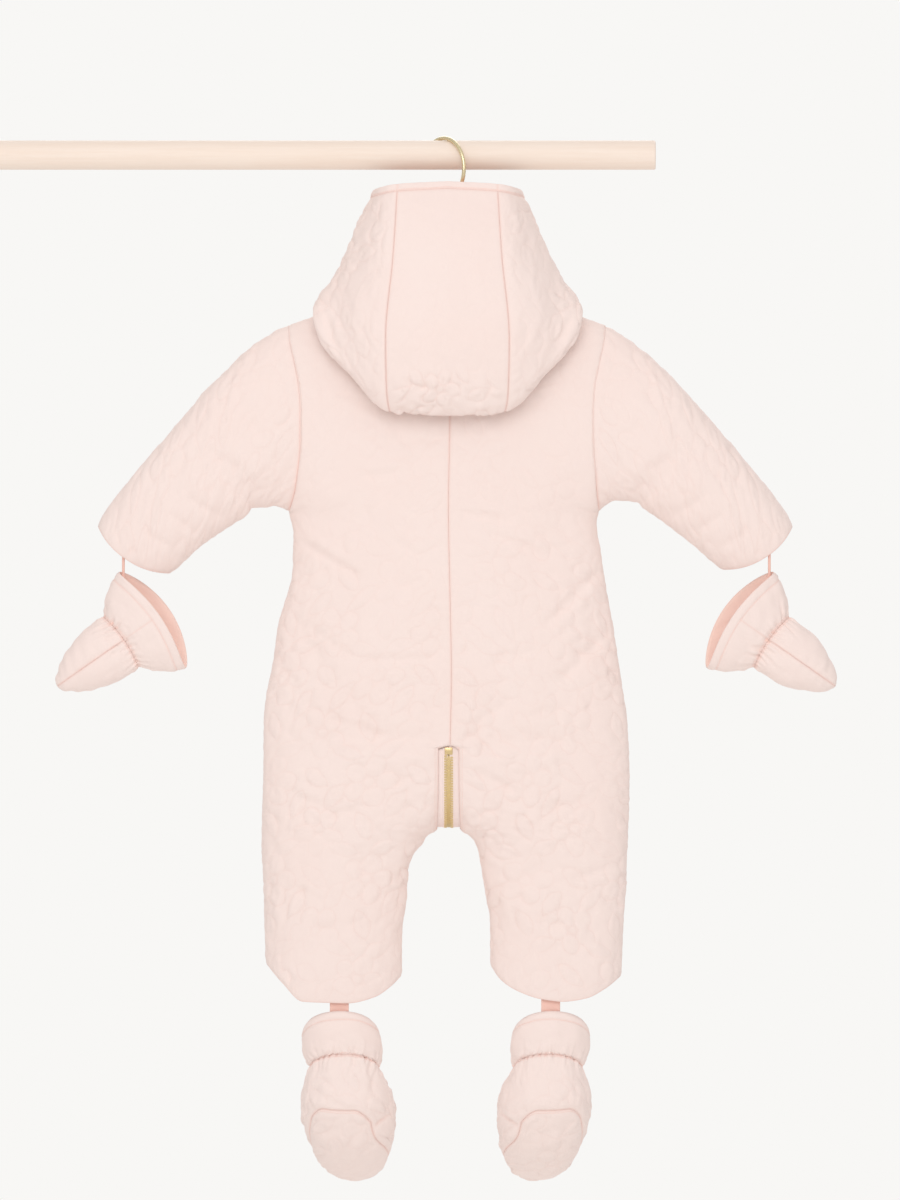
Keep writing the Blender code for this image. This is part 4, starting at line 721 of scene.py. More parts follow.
def bootie_grid(side):
    """Rings from the open rim to the elastic, then rings that turn forward to the toe. The sole is
    the part of a ring that faces back and down."""
    ring = np.arange(BOOTIE_COLUMNS) / BOOTIE_COLUMNS * 2 * math.pi
    rows = []
    rim, ankle = BOOTIE_CUFF["drop"][[0, -1]]
    arch = ELASTIC_ARCH * np.abs(np.sin(ring)) ** 0.9
    for share in np.arange(BOOTIE_CUFF_ROWS) / BOOTIE_CUFF_ROWS:
        drop = rim + (ankle - rim) * share
        half, depth = (smooth(BOOTIE_CUFF, key, drop) for key in ("half", "depth"))
        pleat = BOOTIE_PLEAT * bell(drop - ankle, BOOTIE_RUN * 1.4)
        gather = 1 + pleat * gathers(ring, BOOTIE_GATHERS, side)
        x, y = half * np.cos(ring) * gather, -depth * np.sin(ring) * gather
        lift = BOOTIE_BULGE * (1 - share) * np.abs(np.sin(ring)) ** 0.9 + arch * share
        lift -= FAR_RIM * (1 - share) ** 2 * np.clip(-np.sin(ring), 0, 1) ** 0.5
        rows.append(np.stack([bootie_centre(side, drop) + x, BOOTIE_Y + y, drop - lift], axis=1))
    knots = np.arange(len(BOOTIE_FOOT["drop"]))
    first, last = sole_columns()
    middle = np.clip((np.abs(np.arange(BOOTIE_COLUMNS) - (first + last) / 2) / ((last - first) / 2)
                      - SOLE_SHARE) / (1 - SOLE_SHARE), 0, 1)
    start = SOLE_MIDDLE + (SOLE_CORNERS - SOLE_MIDDLE) * middle**2
    levels = bootie_levels()
    seam_level, end = levels[sole_row()], knots[-1]
    for level in levels:
        if level < seam_level:
            at, corner = (level * place / seam_level for place in (start, SOLE_CORNERS))
        else:
            at, corner = (place + (level - seam_level) * (end - place) / (end - seam_level)
                          for place in (start, SOLE_CORNERS))
        angle = sole_angles(side, corner)
        drop, forward, tilt = (
            curve(knots, BOOTIE_FOOT[key], at) for key in ("drop", "forward", "tilt"))
        half, height = (rounded_curve(knots, BOOTIE_FOOT[key], at) for key in ("half", "height"))
        t = np.radians(tilt)
        pleat = BOOTIE_PLEAT * bell(drop - ankle, BOOTIE_RUN * 1.4)
        gather = 1 + pleat * gathers(angle, BOOTIE_GATHERS, side)
        x, out = half * np.cos(angle) * gather, height * np.sin(angle) * gather
        flat = eased((drop - SOLE_START) / SOLE_FADE)
        out -= SOLE_FLAT * height * flat * np.clip(np.sin(angle), 0, 1) ** 2
        y = BOOTIE_Y + forward - out * np.cos(t)
        lift = ELASTIC_ARCH * np.abs(np.sin(angle)) ** 0.9 * (1 - np.clip(at / ARCH_KNOTS, 0, 1)) ** 2
        rows.append(np.stack([bootie_centre(side, drop) + x, y, drop + out * np.sin(t) - lift], axis=1))
    return np.array(rows)


def bootie_levels():
    """Places of the foot's rows, in knots of its table."""
    turn = np.linspace(0, math.pi / 2, BOOTIE_FOOT_ROWS + 1)
    share = np.sin(turn) * 0.35 + turn / (math.pi / 2) * 0.65
    return share * (len(BOOTIE_FOOT["drop"]) - 1)


def sole_row():
    """The foot's row at which the sole starts."""
    return int(np.searchsorted(bootie_levels(), (SOLE_MIDDLE + SOLE_CORNERS) / 2))


def sole_columns():
    """The columns of the sole's two side seams."""
    return BOOTIE_COLUMNS // 8, BOOTIE_COLUMNS // 2 - BOOTIE_COLUMNS // 8


def sole_angles(side, knot):
    """Each column's angle in a row of the foot, which puts the sole's side seams in their place."""
    inner, outer = (
        math.radians(smooth(SOLE_SEAMS, key, knot, by="knot")) for key in ("inner", "outer"))
    near, far = (inner, outer) if side == LEFT else (outer, inner)
    first, last = sole_columns()
    knots = [0, first, last, BOOTIE_COLUMNS // 2, BOOTIE_COLUMNS]
    half, whole = math.pi, 2 * math.pi
    return np.interp(np.arange(BOOTIE_COLUMNS), knots, [0, near, half - far, half, whole])


# ------------------------------------------------------------------ relief of the cloth
def warped(u, v):
    """Cloth coordinates, slightly drawn out of true as quilting is after a wash."""
    return (u + WARP * ripples(u, v, 71, WARP_LENGTH) + FINE_WARP * ripples(u, v, 75, FINE_WARP_LENGTH),
            v + WARP * ripples(u, v, 72, WARP_LENGTH) + FINE_WARP * ripples(u, v, 76, FINE_WARP_LENGTH))


def motif_places(u, v):
    """For each motif of the endless repeat, its kind and each point's place from its middle, along
    and aside of its own direction."""
    half = QUILT_TILE / 2
    for kind, x, y, turn in MOTIFS:
        du, dv = (u - x + half) % QUILT_TILE - half, (v - y + half) % QUILT_TILE - half
        yield kind, *spun(du, dv, math.radians(turn))


def spun(along, aside, angle):
    """Places along and aside of a line that is turned by an angle."""
    c, s = math.cos(angle), math.sin(angle)
    return along * c + aside * s, aside * c - along * s


def outline_distance(u, v):
    """Signed distance to the outlines of the quilted flowers and leaves, below 0 inside them, and
    to the flowers' eyes."""
    best, eye = np.full(np.shape(u), OUTLINE_FAR), np.full(np.shape(u), OUTLINE_FAR)
    for kind, along, aside in motif_places(u, v):
        if kind == "leaf":
            share, off = along / (LEAF_LONG / 2), np.abs(aside)
            bow = LEAF_WIDE / 2 * (1 - share**2) * (1 - 0.25 * share)
            past = np.maximum(np.abs(share) - 1, 0) * LEAF_LONG / 2
            best = np.minimum(best, np.where(past > 0, np.hypot(off, past), (off - bow) * 0.85))
            continue
        eye = np.minimum(eye, np.hypot(along, aside) - EYE)
        for k in range(PETALS):
            out, off = spun(along, aside, 2 * math.pi / PETALS * k)
            out = out - PETAL_PLACE
            reach = np.hypot(out / PETAL_LONG, off / PETAL_WIDE)
            slope = np.hypot(out / PETAL_LONG**2, off / PETAL_WIDE**2)
            best = np.minimum(best, (reach - 1) * reach / np.maximum(slope, 1e-3))
    return np.clip(best, -OUTLINE_FAR, OUTLINE_FAR), np.clip(eye, -OUTLINE_FAR, OUTLINE_FAR)


def turned(points, x, y, degrees):
    a = math.radians(degrees)
    spin = np.array([[math.cos(a), math.sin(a)], [-math.sin(a), math.cos(a)]])
    return np.asarray(points) @ spin + [x, y]


def flower_lines(x, y, turn):
    """Stitched outlines of a flower: petals, a vein in each, and a round eye."""
    t = np.linspace(0, 2 * math.pi, 60)
    lines = [turned(np.stack([EYE * np.cos(t), EYE * np.sin(t)], axis=1), x, y, 0)]
    for k in range(PETALS):
        petal = np.stack([PETAL_PLACE + PETAL_LONG * np.cos(t), PETAL_WIDE * np.sin(t)], axis=1)
        vein = np.stack([np.linspace(8, 15, 12), 0.9 * np.sin(np.linspace(0, math.pi, 12))], axis=1)
        lines += [turned(shape, x, y, turn + 72 * k) for shape in (petal, vein)]
    return lines


def leaf_lines(x, y, turn):
    """Stitched outline of a pointed leaf and its midrib."""
    t = np.linspace(-1, 1, 40)
    bow = LEAF_WIDE / 2 * (1 - t**2) * (1 - 0.25 * t)
    edge = LEAF_LONG / 2 * t
    rib = np.stack([edge[:34] - 2, 0.8 * np.sin(t[:34] * 2)], axis=1)
    return [turned(shape, x, y, turn)
            for shape in (np.stack([edge, bow], axis=1), np.stack([edge, -bow], axis=1), rib)]


def tile_lines():
    lines = []
    for kind, x, y, turn in MOTIFS:
        lines += flower_lines(x, y, turn) if kind == "flower" else leaf_lines(x, y, turn)
    for stem in STEMS:
        points = np.array([(x, y, 0) for x, y in stem], float)
        lines.append(spline(points, 24)[:, :2])
    return lines


def motif_bump(u, v):
    """Padding under the flowers and leaves, from 0 to 1, over the endless repeat."""
    rise = np.zeros(np.shape(u))
    for kind, along, aside in motif_places(u, v):
        if kind == "flower":
            away, bearing = np.hypot(along, aside), np.arctan2(aside, along)
            reach = FLOWER_RADIUS * (1 - PETAL_DEPTH * (1 - np.cos(PETALS * bearing)))
            bump = np.clip(1 - (away / reach) ** 2, 0, 1) * np.clip(away / EYE_RADIUS, 0.3, 1)
        else:
            bump = np.clip(1 - (along / LEAF_LONG * 2) ** 2 - (aside / LEAF_WIDE * 2) ** 2, 0, 1)
        rise = np.maximum(rise, bump)
    return rise


def stitch_distances():
    """Distance to the nearest quilting line on a fine net over one repeat."""
    points = np.concatenate(tile_lines())
    shifts = [(a, b) for a in (-1, 0, 1) for b in (-1, 0, 1)]
    points = np.concatenate([points + np.array(s) * QUILT_TILE for s in shifts])
    near = ((points > -15) & (points < QUILT_TILE + 15)).all(1)
    points = points[near]
    at = np.arange(0, QUILT_TILE, TILE_STEP)
    best = np.full((len(at), len(at)), 1e9)
    for row, v in enumerate(at):
        close = points[np.abs(points[:, 1] - v) < 15]
        off = (at[:, None] - close[None, :, 0]) ** 2 + (v - close[None, :, 1]) ** 2
        best[row] = off.min(1)
    return np.sqrt(best)


STITCH_NET = stitch_distances()


def stitch_distance(u, v):
    """Distance to the nearest quilting line, read from the net between its points."""
    size = len(STITCH_NET)
    a, b = (v / TILE_STEP) % size, (u / TILE_STEP) % size
    i, j = np.floor(a).astype(int) % size, np.floor(b).astype(int) % size
    s, t = a - np.floor(a), b - np.floor(b)
    i2, j2 = (i + 1) % size, (j + 1) % size
    return ((STITCH_NET[i, j] * (1 - t) + STITCH_NET[i, j2] * t) * (1 - s)
            + (STITCH_NET[i2, j] * (1 - t) + STITCH_NET[i2, j2] * t) * s)


def ripples(u, v, seed, length=46.0):
    """A soft unevenness of padded cloth, from about -1 to 1."""
    rng = np.random.default_rng(seed)
    total = np.zeros(np.shape(u))
    for _ in range(9):
        angle, phase = rng.uniform(0, math.pi), rng.uniform(0, 2 * math.pi)
        wave = length * rng.uniform(0.55, 1.6)
        total += np.sin((u * math.cos(angle) + v * math.sin(angle)) * 2 * math.pi / wave + phase)
    return total / 3.6


def fold_rise(folds, x, drop):
    """Soft troughs and ridges along the folds' lines, fading at both ends."""
    rise = np.zeros(np.shape(x))
    for x0, d0, x1, d1, wide, lift in zip(*folds.values()):
        along = np.array([x1 - x0, d1 - d0])
        length = np.linalg.norm(along)
        t = ((x - x0) * along[0] + (drop - d0) * along[1]) / length
        off = ((x - x0) * along[1] - (drop - d0) * along[0]) / length
        fade = eased(t / FOLD_FADE) * eased((length - t) / FOLD_FADE)
        rise = rise + lift * fade * bell(off, wide)
    return rise


def cloth_coordinates(grid):
    """Distances along the cloth, across from the first column and down from the first row."""
    across = np.linalg.norm(np.diff(grid, axis=1), axis=2)
    down = np.linalg.norm(np.diff(grid, axis=0), axis=2)
    u = np.concatenate([np.zeros((len(grid), 1)), np.cumsum(across, axis=1)], axis=1)
    v = np.concatenate([np.zeros((1, grid.shape[1])), np.cumsum(down, axis=0)], axis=0)
    return u, v


def edge_distances(u, v, around):
    """Distances to the nearest edge along the cloth, and along that edge."""
    ends = np.minimum(v, v[-1] - v)
    if around:
        return ends, u
    sides = np.minimum(u, u[:, -1:] - u)
    return np.minimum(ends, sides), np.where(ends < sides, u, v)


def quilted(u, v, strength=1.0):
    """Rise of the quilting, its signed distances to outlines and eyes, and its strength."""
    patchy = np.clip(0.9 + 0.45 * ripples(u, v, 73, 120.0), 0.45, 1.25) * strength
    plain_u, plain_v = u, v
    u, v = warped(u, v)
    away = stitch_distance(u, v)
    puffed = 0.62 * (1 - np.exp(-away / 2.0)) + 0.38 * motif_bump(u, v)
    crumple = CRUMPLE * ripples(plain_u, plain_v, 74, CRUMPLE_LENGTH) * (0.25 + np.exp(-away / 5))
    puffs = PUFF * ripples(plain_u * 0.8, plain_v * 1.25, 77, PUFF_LENGTH)
    crumple += puffs * (0.4 + 0.6 * np.exp(-away / 6))
    outline, eye = outline_distance(u, v)
    return (size("quilt_rise") * puffed + crumple) * patchy, outline, eye, patchy


def sewn(edge, along, seed):
    """The dip of the cloth into a seam, and the small puckers beside it."""
    waves = np.sin(along / 1.75 + 2.1 * np.sin(along / 13 + seed) + seed)
    beside = np.exp(-edge / 8) * (1 - np.exp(-edge / 1.6))
    return PUCKER * waves * beside - size("seam_sink") * bell(edge, SEAM_WIDE)


def gathered(around, whole, away, count, seed):
    """Uneven small creases and puffs that run out from an elastic on both sides. around is the
    place along the elastic, whole its length, and away the distance from it."""
    rng = np.random.default_rng(seed)
    rise = np.zeros(np.shape(around))
    for k in range(count):
        place = (k + rng.uniform(-0.35, 0.35)) / count * whole
        wide, lean = rng.uniform(0.9, 1.7), rng.uniform(-0.3, 0.3)
        above, below, deep = rng.uniform(4, 13), rng.uniform(4, 15), rng.uniform(0.5, 1.25)
        off = (around - place - lean * away + whole / 2) % whole - whole / 2
        fade = bell(away, np.where(away < 0, above, below))
        rise -= deep * fade * bell(off, wide * (1 + 0.05 * np.abs(away)))
        rise += 0.45 * deep * fade * bell(np.abs(off) - 2.2 * wide, 1.6)
    uneven = ripples(around, away * 1.3, seed + 4, 9.0) * bell(away, 16)
    return np.clip(GATHER_RISE * rise + 0.35 * uneven, GATHER_DEEPEST, 0.5 + np.abs(away) / 12)


# ------------------------------------------------------------------ meshes
def new_object(name, mesh):
    obj = bpy.data.objects.new(name, mesh)
    bpy.context.scene.collection.objects.link(obj)
    return obj


def mesh_from(name, points, faces, materials, sharp=60):
    mesh = bpy.data.meshes.new(name)
    mesh.from_pydata([tuple(p) for p in points], [], faces)
    for made in materials:
        mesh.materials.append(made)
    mesh.shade_smooth()
    mesh.set_sharp_from_angle(angle=math.radians(sharp))
    return new_object(name, mesh)


def tube_faces(count, ring):
    """Faces of a closed tube of count rings of points."""
    faces = []
    for near in range(0, (count - 1) * ring, ring):
        for j in range(ring):
            ahead = (j + 1) % ring
            faces.append([near + j, near + ahead, near + ring + ahead, near + ring + j])
    return faces + [list(range(ring))[::-1], list(range((count - 1) * ring, count * ring))]


def add_uv(mesh, places):
    """Gives a mesh each point's place along its cloth, in metres, as its UV map."""
    loops = np.zeros(len(mesh.loops), np.int32)
    mesh.loops.foreach_get("vertex_index", loops)
    layer = mesh.uv_layers.new(name="cloth")
    layer.data.foreach_set("uv", places[loops].astype(np.float32).ravel())


def cloth_object(name, points, faces, index, uv, marks, materials, ends=()):
    """A closed wall from its points in table coordinates. index is each face's material, uv and
    marks are each point's, and the points at the ends are joined where they meet."""
    mesh = bpy.data.meshes.new(name)
    mesh.from_pydata(world(points).tolist(), [], faces)
    for made in materials:
        mesh.materials.append(made)
    mesh.polygons.foreach_set("material_index", np.array(index, np.int32))
    add_uv(mesh, uv)
    for key, values in marks.items():
        attribute = mesh.attributes.new(key, "FLOAT", "POINT")
        attribute.data.foreach_set("value", values.astype(np.float32))
    shell = bmesh.new()
    shell.from_mesh(mesh)
    shell.verts.ensure_lookup_table()
    if len(ends):
        bmesh.ops.remove_doubles(shell, verts=[shell.verts[int(n)] for n in ends], dist=1e-7)
    loose = [point for point in shell.verts if not point.link_faces]
    bmesh.ops.delete(shell, geom=loose, context="VERTS")
    shell.to_mesh(mesh)
    shell.free()
    face_outwards(mesh)
    mesh.shade_smooth()
    return new_object(name, mesh)


def hand_over(obj, node, body=GARMENT):
    """Tells the frame what a finished piece rides on, and hides the part that it stands for."""
    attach(obj, body)
    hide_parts(node)


def face_outwards(mesh):
    shell = bmesh.new()
    shell.from_mesh(mesh)
    if shell.calc_volume(signed=True) < 0:
        bmesh.ops.reverse_faces(shell, faces=shell.faces)
    shell.to_mesh(mesh)
    shell.free()


def trimmed(grid, around, amount=EDGE_TRIM):
    """The grid with its edges drawn in along the cloth, so that neighbours stay apart."""
    grid = grid.copy()
    edges = [(0, 1, 0), (-1, -2, 0)] + ([] if around else [(0, 1, 1), (-1, -2, 1)])
    inset = np.zeros_like(grid)
    for edge, near, axis in edges:
        place = [slice(None)] * 3
        place[axis] = edge
        beside = [slice(None)] * 3
        beside[axis] = near
        step = grid[tuple(beside)] - grid[tuple(place)]
        size = np.maximum(np.linalg.norm(step, axis=-1, keepdims=True), 1e-6)
        inset[tuple(place)] += step / size * np.minimum(size * 0.8, amount)
    return grid + inset


def wall(name, grid, normals, rise, sway, uv, marks, materials, thick=CLOTH, around=False, tip=False):
    """A closed wall of cloth. rise lifts its outer face, sway moves both faces, and the plain
    inside has every second row and column. marks are named values at the outer points."""
    rows, cols = grid.shape[:2]
    grid = trimmed(grid, around)
    outer = grid + normals * (rise + sway)[..., None]
    edge = edge_distances(*cloth_coordinates(grid), around)[0]
    rim = RIM_SHARE * thick * bell(edge, RIM_WIDE)
    rim = np.clip(rim, 0, np.maximum(thick + rise - THIN_EDGE, 0))
    inner = (grid + normals * (sway - thick + rim)[..., None])[::2, ::2]
    if tip:
        outer[-1] = outer[-1].mean(0)
        inner[-1] = inner[-1].mean(0)
    in_rows, in_cols = inner.shape[:2]
    count = rows * cols
    points = np.concatenate([outer.reshape(-1, 3), inner.reshape(-1, 3)])
    a = np.arange(count).reshape(rows, cols)
    b = count + np.arange(in_rows * in_cols).reshape(in_rows, in_cols)
    if around:
        a, b = np.hstack([a, a[:, :1]]), np.hstack([b, b[:, :1]])
    outside = np.stack([a[:-1, :-1], a[:-1, 1:], a[1:, 1:], a[1:, :-1]], axis=-1).reshape(-1, 4)
    inside = np.stack([b[:-1, :-1], b[1:, :-1], b[1:, 1:], b[:-1, 1:]], axis=-1).reshape(-1, 4)
    borders = [(a[0][::-1], b[0][::-1])]
    if not tip:
        borders.append((a[-1], b[-1]))
    if not around:
        borders += [(a[:, 0], b[:, 0]), (a[::-1, -1], b[::-1, -1])]
    rims = [
        [line[2 * k], line[2 * k + 1], line[2 * k + 2], near[k + 1], near[k]]
        for line, near in borders for k in range(len(near) - 1)
    ]
    index = [0] * len(outside) + [1] * len(inside) + [0] * len(rims)
    faces = outside.tolist() + inside.tolist() + [[int(n) for n in rim_] for rim_ in rims]
    places = np.stack(uv, axis=-1) * MM
    places = np.concatenate([places.reshape(-1, 2), places[::2, ::2].reshape(-1, 2)])
    plain = np.zeros(in_rows * in_cols)
    full = {key: np.concatenate([values.ravel(), plain]) for key, values in marks.items()}
    ends = np.unique(np.concatenate([a[-1], b[-1]])) if tip else ()
    obj = cloth_object(name, points, faces, index, places, full, materials, ends)
    surfaces[name] = (outer, normals, *uv)
    return obj


surfaces = {}


def cut_size(grid, around=False, turned_in=0.0):
    """The flat size of a panel: its greatest width and length, and its area, in metres. turned_in
    is what a narrow strip adds where it folds over an edge."""
    if around:
        grid = np.concatenate([grid, grid[:, :1]], axis=1)
    across = np.linalg.norm(np.diff(grid, axis=1), axis=2)
    down = np.linalg.norm(np.diff(grid, axis=0), axis=2)
    sides = (across[1:] + across[:-1]) / 2 * (down[:, 1:] + down[:, :-1]) / 2
    width, length = across.sum(1).max() * MM, (down.sum(0).max() + turned_in) * MM
    return width, length, min(sides.sum() * MM * MM, width * length)


def place_cloth(obj, node, grid, around=False,
                turned_in=0.0):
    """Hands a finished panel to the frame, and works out the flat size it was cut from."""
    hand_over(obj, node)
    width, length, area = cut_size(grid, around, turned_in)


def sweep(name, path, section, materials, shares=None, level=(1, 0, 0), sharp=60):
    """A solid that carries a section along a path in table coordinates."""
    path = np.asarray(path, float)
    tangent = np.gradient(path, axis=0)
    tangent /= np.linalg.norm(tangent, axis=1, keepdims=True)
    points = []
    side = np.array(level, float)
    for k, (place, ahead) in enumerate(zip(path, tangent)):
        side = side - ahead * np.dot(side, ahead)
        side /= np.linalg.norm(side)
        up = np.cross(ahead, side)
        scale = 1 if shares is None else shares[k]
        points += [place + (side * a + up * b) * scale for a, b in section]
    faces = tube_faces(len(path), len(section))
    obj = mesh_from(name, world(points), faces, materials, sharp)
    face_outwards(obj.data)
    return obj


def oval(half_wide, half_high, sides):
    turn = np.arange(sides) / sides * 2 * math.pi
    return list(zip(half_wide * np.cos(turn), half_high * np.sin(turn)))


# ------------------------------------------------------------------ materials
def linear(colour):
    """sRGB values from 0 to 1 as linear ones."""
    c = np.array(colour, float)
    return tuple(np.where(c <= 0.04045, c / 12.92, ((c + 0.055) / 1.055) ** 2.4))


class Nodes:
    """A small helper that adds nodes to a tree and links them."""

    def __init__(self, tree):
        self.tree = tree

    def add(self, kind, inputs=None, **settings):
        node = self.tree.nodes.new(kind)
        for key, value in settings.items():
            setattr(node, key, value)
        for key, value in (inputs or {}).items():
            self.put(node.inputs[key], value)
        return node

    def out(self, kind, inputs=None, **settings):
        """The first output of a new node."""
        return self.add(kind, inputs, **settings).outputs[0]

    def put(self, socket, value):
        if isinstance(value, bpy.types.NodeSocket):
            self.tree.links.new(value, socket)
        else:
            socket.default_value = value

    def math(self, operation, *values):
        node = self.add("ShaderNodeMath", operation=operation)
        for socket, value in zip(node.inputs, values):
            self.put(socket, value)
        return node.outputs[0]

    def sum(self, *parts):
        """The sum of some values, each with its weight."""
        total = self.math("MULTIPLY", *parts[0])
        for value, weight in parts[1:]:
            total = self.math("MULTIPLY_ADD", value, weight, total)
        return total


class Shader(Nodes):
    """The nodes of a new material."""

    def __init__(self, name):
        self.material = bpy.data.materials.new(name)
        self.material.use_nodes = True
        super().__init__(self.material.node_tree)
        self.main = self.tree.nodes["Principled BSDF"]

    def mix(self, share, first, second):
        """One colour with a share of a second one."""
        node = self.add("ShaderNodeMix", {0: share, 6: first, 7: second}, data_type="RGBA")
        return node.outputs[2]

    def mark(self, name):
        return self.add("ShaderNodeAttribute", attribute_name=name).outputs["Fac"]

    def noise(self, place, scale, detail, rough=0.5):
        inputs = {"Vector": place, "Scale": scale, "Detail": detail, "Roughness": rough}
        return self.add("ShaderNodeTexNoise", inputs).outputs["Fac"]


def cotton(name, colour, deep, thread=0.55, bump=0.3, quilt=True):
    """Fine woven cotton: threads over and under, a soft nap and crinkles, a deeper tone in its
    seams, and crisp lines where the quilting is stitched down, darkened there as painted shade."""
    s = Shader(name)
    uv = s.out("ShaderNodeUVMap", uv_map="cloth")
    parts = s.add("ShaderNodeSeparateXYZ", {0: uv})
    count = 2 * math.pi / (thread * MM)
    warp = s.math("SINE", s.math("MULTIPLY", parts.outputs[0], count))
    weft = s.math("SINE", s.math("MULTIPLY", parts.outputs[1], count))
    place = s.add("ShaderNodeTexCoord").outputs["Object"]
    nap = s.noise(place, 1400.0, 2.0)
    crinkle = s.noise(place, 170.0, 3.0, 0.45)
    cloud = s.noise(place, 14.0, 3.0)
    height = s.sum((s.math("MULTIPLY", warp, weft), 0.07), (nap, 0.3), (crinkle, 1.0))
    seam_tone_and_groove_shade = s.math("MULTIPLY", s.mark("seam"), SEAM_TINT)
    if quilt:
        grooves = []
        for mark in ("outline", "eye"):
            away = s.math("ABSOLUTE", s.mark(mark))
            grooves.append(s.math("EXPONENT", s.math("MULTIPLY", away, -1 / 0.9)))
        groove = s.math("MULTIPLY", s.math("MAXIMUM", *grooves), s.mark("quilt"))
        height = s.sum((height, 1.0), (groove, -1.3))
        # The quilting grooves are also darkened in colour: painted shade in the stitched-down lines.
        seam_tone_and_groove_shade = s.sum((seam_tone_and_groove_shade, 1.0), (groove, 0.14))
    raised = s.add("ShaderNodeBump", {"Height": height, "Strength": bump, "Distance": 0.0006})
    base = s.mix(s.math("MULTIPLY", cloud, 0.2), (*linear(colour), 1), (*linear(deep), 1))
    s.put(s.main.inputs["Base Color"], s.mix(s.math("MINIMUM", seam_tone_and_groove_shade, 1.0), base, (*linear(deep), 1)))
    s.put(s.main.inputs["Normal"], raised.outputs[0])
    s.main.inputs["Roughness"].default_value = 0.92
    s.main.inputs["Specular IOR Level"].default_value = 0.15
    s.main.inputs["Sheen Weight"].default_value = 0.12
    s.main.inputs["Sheen Roughness"].default_value = 0.4
    return s.material


def metal(name, colour, roughness):
    """Satin metal with a fine uneven polish."""
    s = Shader(name)
    place = s.add("ShaderNodeTexCoord").outputs["Object"]
    polish = s.noise(place, 500.0, 3.0)
    dull = s.math("ADD", s.math("MULTIPLY", polish, 0.18), roughness - 0.09)
    darker = [c * 0.93 for c in colour]
    s.put(s.main.inputs["Base Color"], s.mix(polish, (*linear(colour), 1), (*linear(darker), 1)))
    s.put(s.main.inputs["Roughness"], dull)
    s.main.inputs["Metallic"].default_value = 1.0
    return s.material


def wood(name, light, dark):
    """Pale sanded wood, its grain along X."""
    s = Shader(name)
    place = s.add("ShaderNodeTexCoord").outputs["Object"]
    long_ = s.out("ShaderNodeMapping", {"Vector": place, "Scale": (1.2, 26.0, 26.0)})
    grain = s.add(
        "ShaderNodeTexNoise", {"Vector": long_, "Scale": 9.0, "Detail": 6.0, "Distortion": 0.6})
    fine = s.out("ShaderNodeMapping", {"Vector": place, "Scale": (8.0, 240.0, 240.0)})
    pores = s.noise(fine, 9.0, 3.0)
    share = s.math("MULTIPLY", s.math("ADD", grain.outputs["Fac"], s.math("MULTIPLY", pores, 0.5)), 0.6)
    s.put(s.main.inputs["Base Color"], s.mix(share, (*linear(light), 1), (*linear(dark), 1)))
    raised = s.add("ShaderNodeBump", {"Height": pores, "Strength": 0.15, "Distance": 0.0003})
    s.put(s.main.inputs["Normal"], raised.outputs[0])
    s.main.inputs["Roughness"].default_value = 0.55
    return s.material


finishes = {}


def shaded(colour, shares):
    """A colour's deeper tone."""
    return [c * share for c, share in zip(colour, shares)]


def make_finishes(colours):
    shade = {key: shaded(colour, (0.985, 0.905, 0.885)) for key, colour in colours.items()}
    cloth = colours["cotton"]
    finishes["cotton"] = cotton("quilted_cotton", cloth, shade["cotton"])
    finishes["plain"] = cotton("plain_cotton", cloth, shade["cotton"], quilt=False)
    for key, name, deep, thread, bump in (
        ("lining", "cotton_lining", "lining", 0.55, 0.15), ("tape", "woven_tape", "tape", 0.9, 0.5),
        ("zip_tape", "zip_tape", "cotton", 0.9, 0.5), ("thread", "sewing_thread", "thread", 0.55, 0.1),
    ):
        finishes[key] = cotton(name, colours[key], shade[deep], thread, bump, quilt=False)
    finishes["brass"] = metal("zip_brass", colours["brass"], 0.3)
    finishes["wire"] = metal("hook_wire", colours["wire"], 0.26)
    finishes["stitches"], finishes["teeth"] = stitch_tree(), tooth_tree()
    finishes["wood"] = wood("pale_wood", colours["wood"], shaded(colours["wood"], (0.95, 0.9, 0.86)))


# ------------------------------------------------------------------ what follows a line
def node_tree(name, inputs):
    """A new Geometry Nodes tree with these named inputs, its nodes' helper, and its first node."""
    tree = bpy.data.node_groups.new(name, "GeometryNodeTree")
    tree.interface.new_socket("Geometry", in_out="INPUT", socket_type="NodeSocketGeometry")
    for label, kind in inputs.items():
        tree.interface.new_socket(label, in_out="INPUT", socket_type=f"NodeSocket{kind}")
    tree.interface.new_socket("Geometry", in_out="OUTPUT", socket_type="NodeSocketGeometry")
    nodes = Nodes(tree)
    return nodes, nodes.add("NodeGroupInput").outputs


def finish_tree(nodes, instances, given, smooth_shaded):
    """Ends a tree: instances made real, shaded, and given their material."""
    made = nodes.out("GeometryNodeRealizeInstances", {"Geometry": instances})
    made = nodes.out("GeometryNodeSetShadeSmooth", {"Geometry": made, "Shade Smooth": smooth_shaded})
    made = nodes.out("GeometryNodeSetMaterial", {"Geometry": made, "Material": given["Material"]})
    nodes.put(nodes.add("NodeGroupOutput").inputs[0], made)
    return nodes.tree


def points_along(nodes, given):
    """Points at the pitch along the given lines, and a turn that sets Z along the lines."""
    line = nodes.out("GeometryNodeMeshToCurve", {"Mesh": given["Geometry"]})
    spots = nodes.add(
        "GeometryNodeCurveToPoints", {"Curve": line, "Length": given["Pitch"]}, mode="LENGTH").outputs
    turn = nodes.out("FunctionNodeAlignRotationToVector", {"Vector": spots["Tangent"]}, axis="Z")
    return spots["Points"], turn


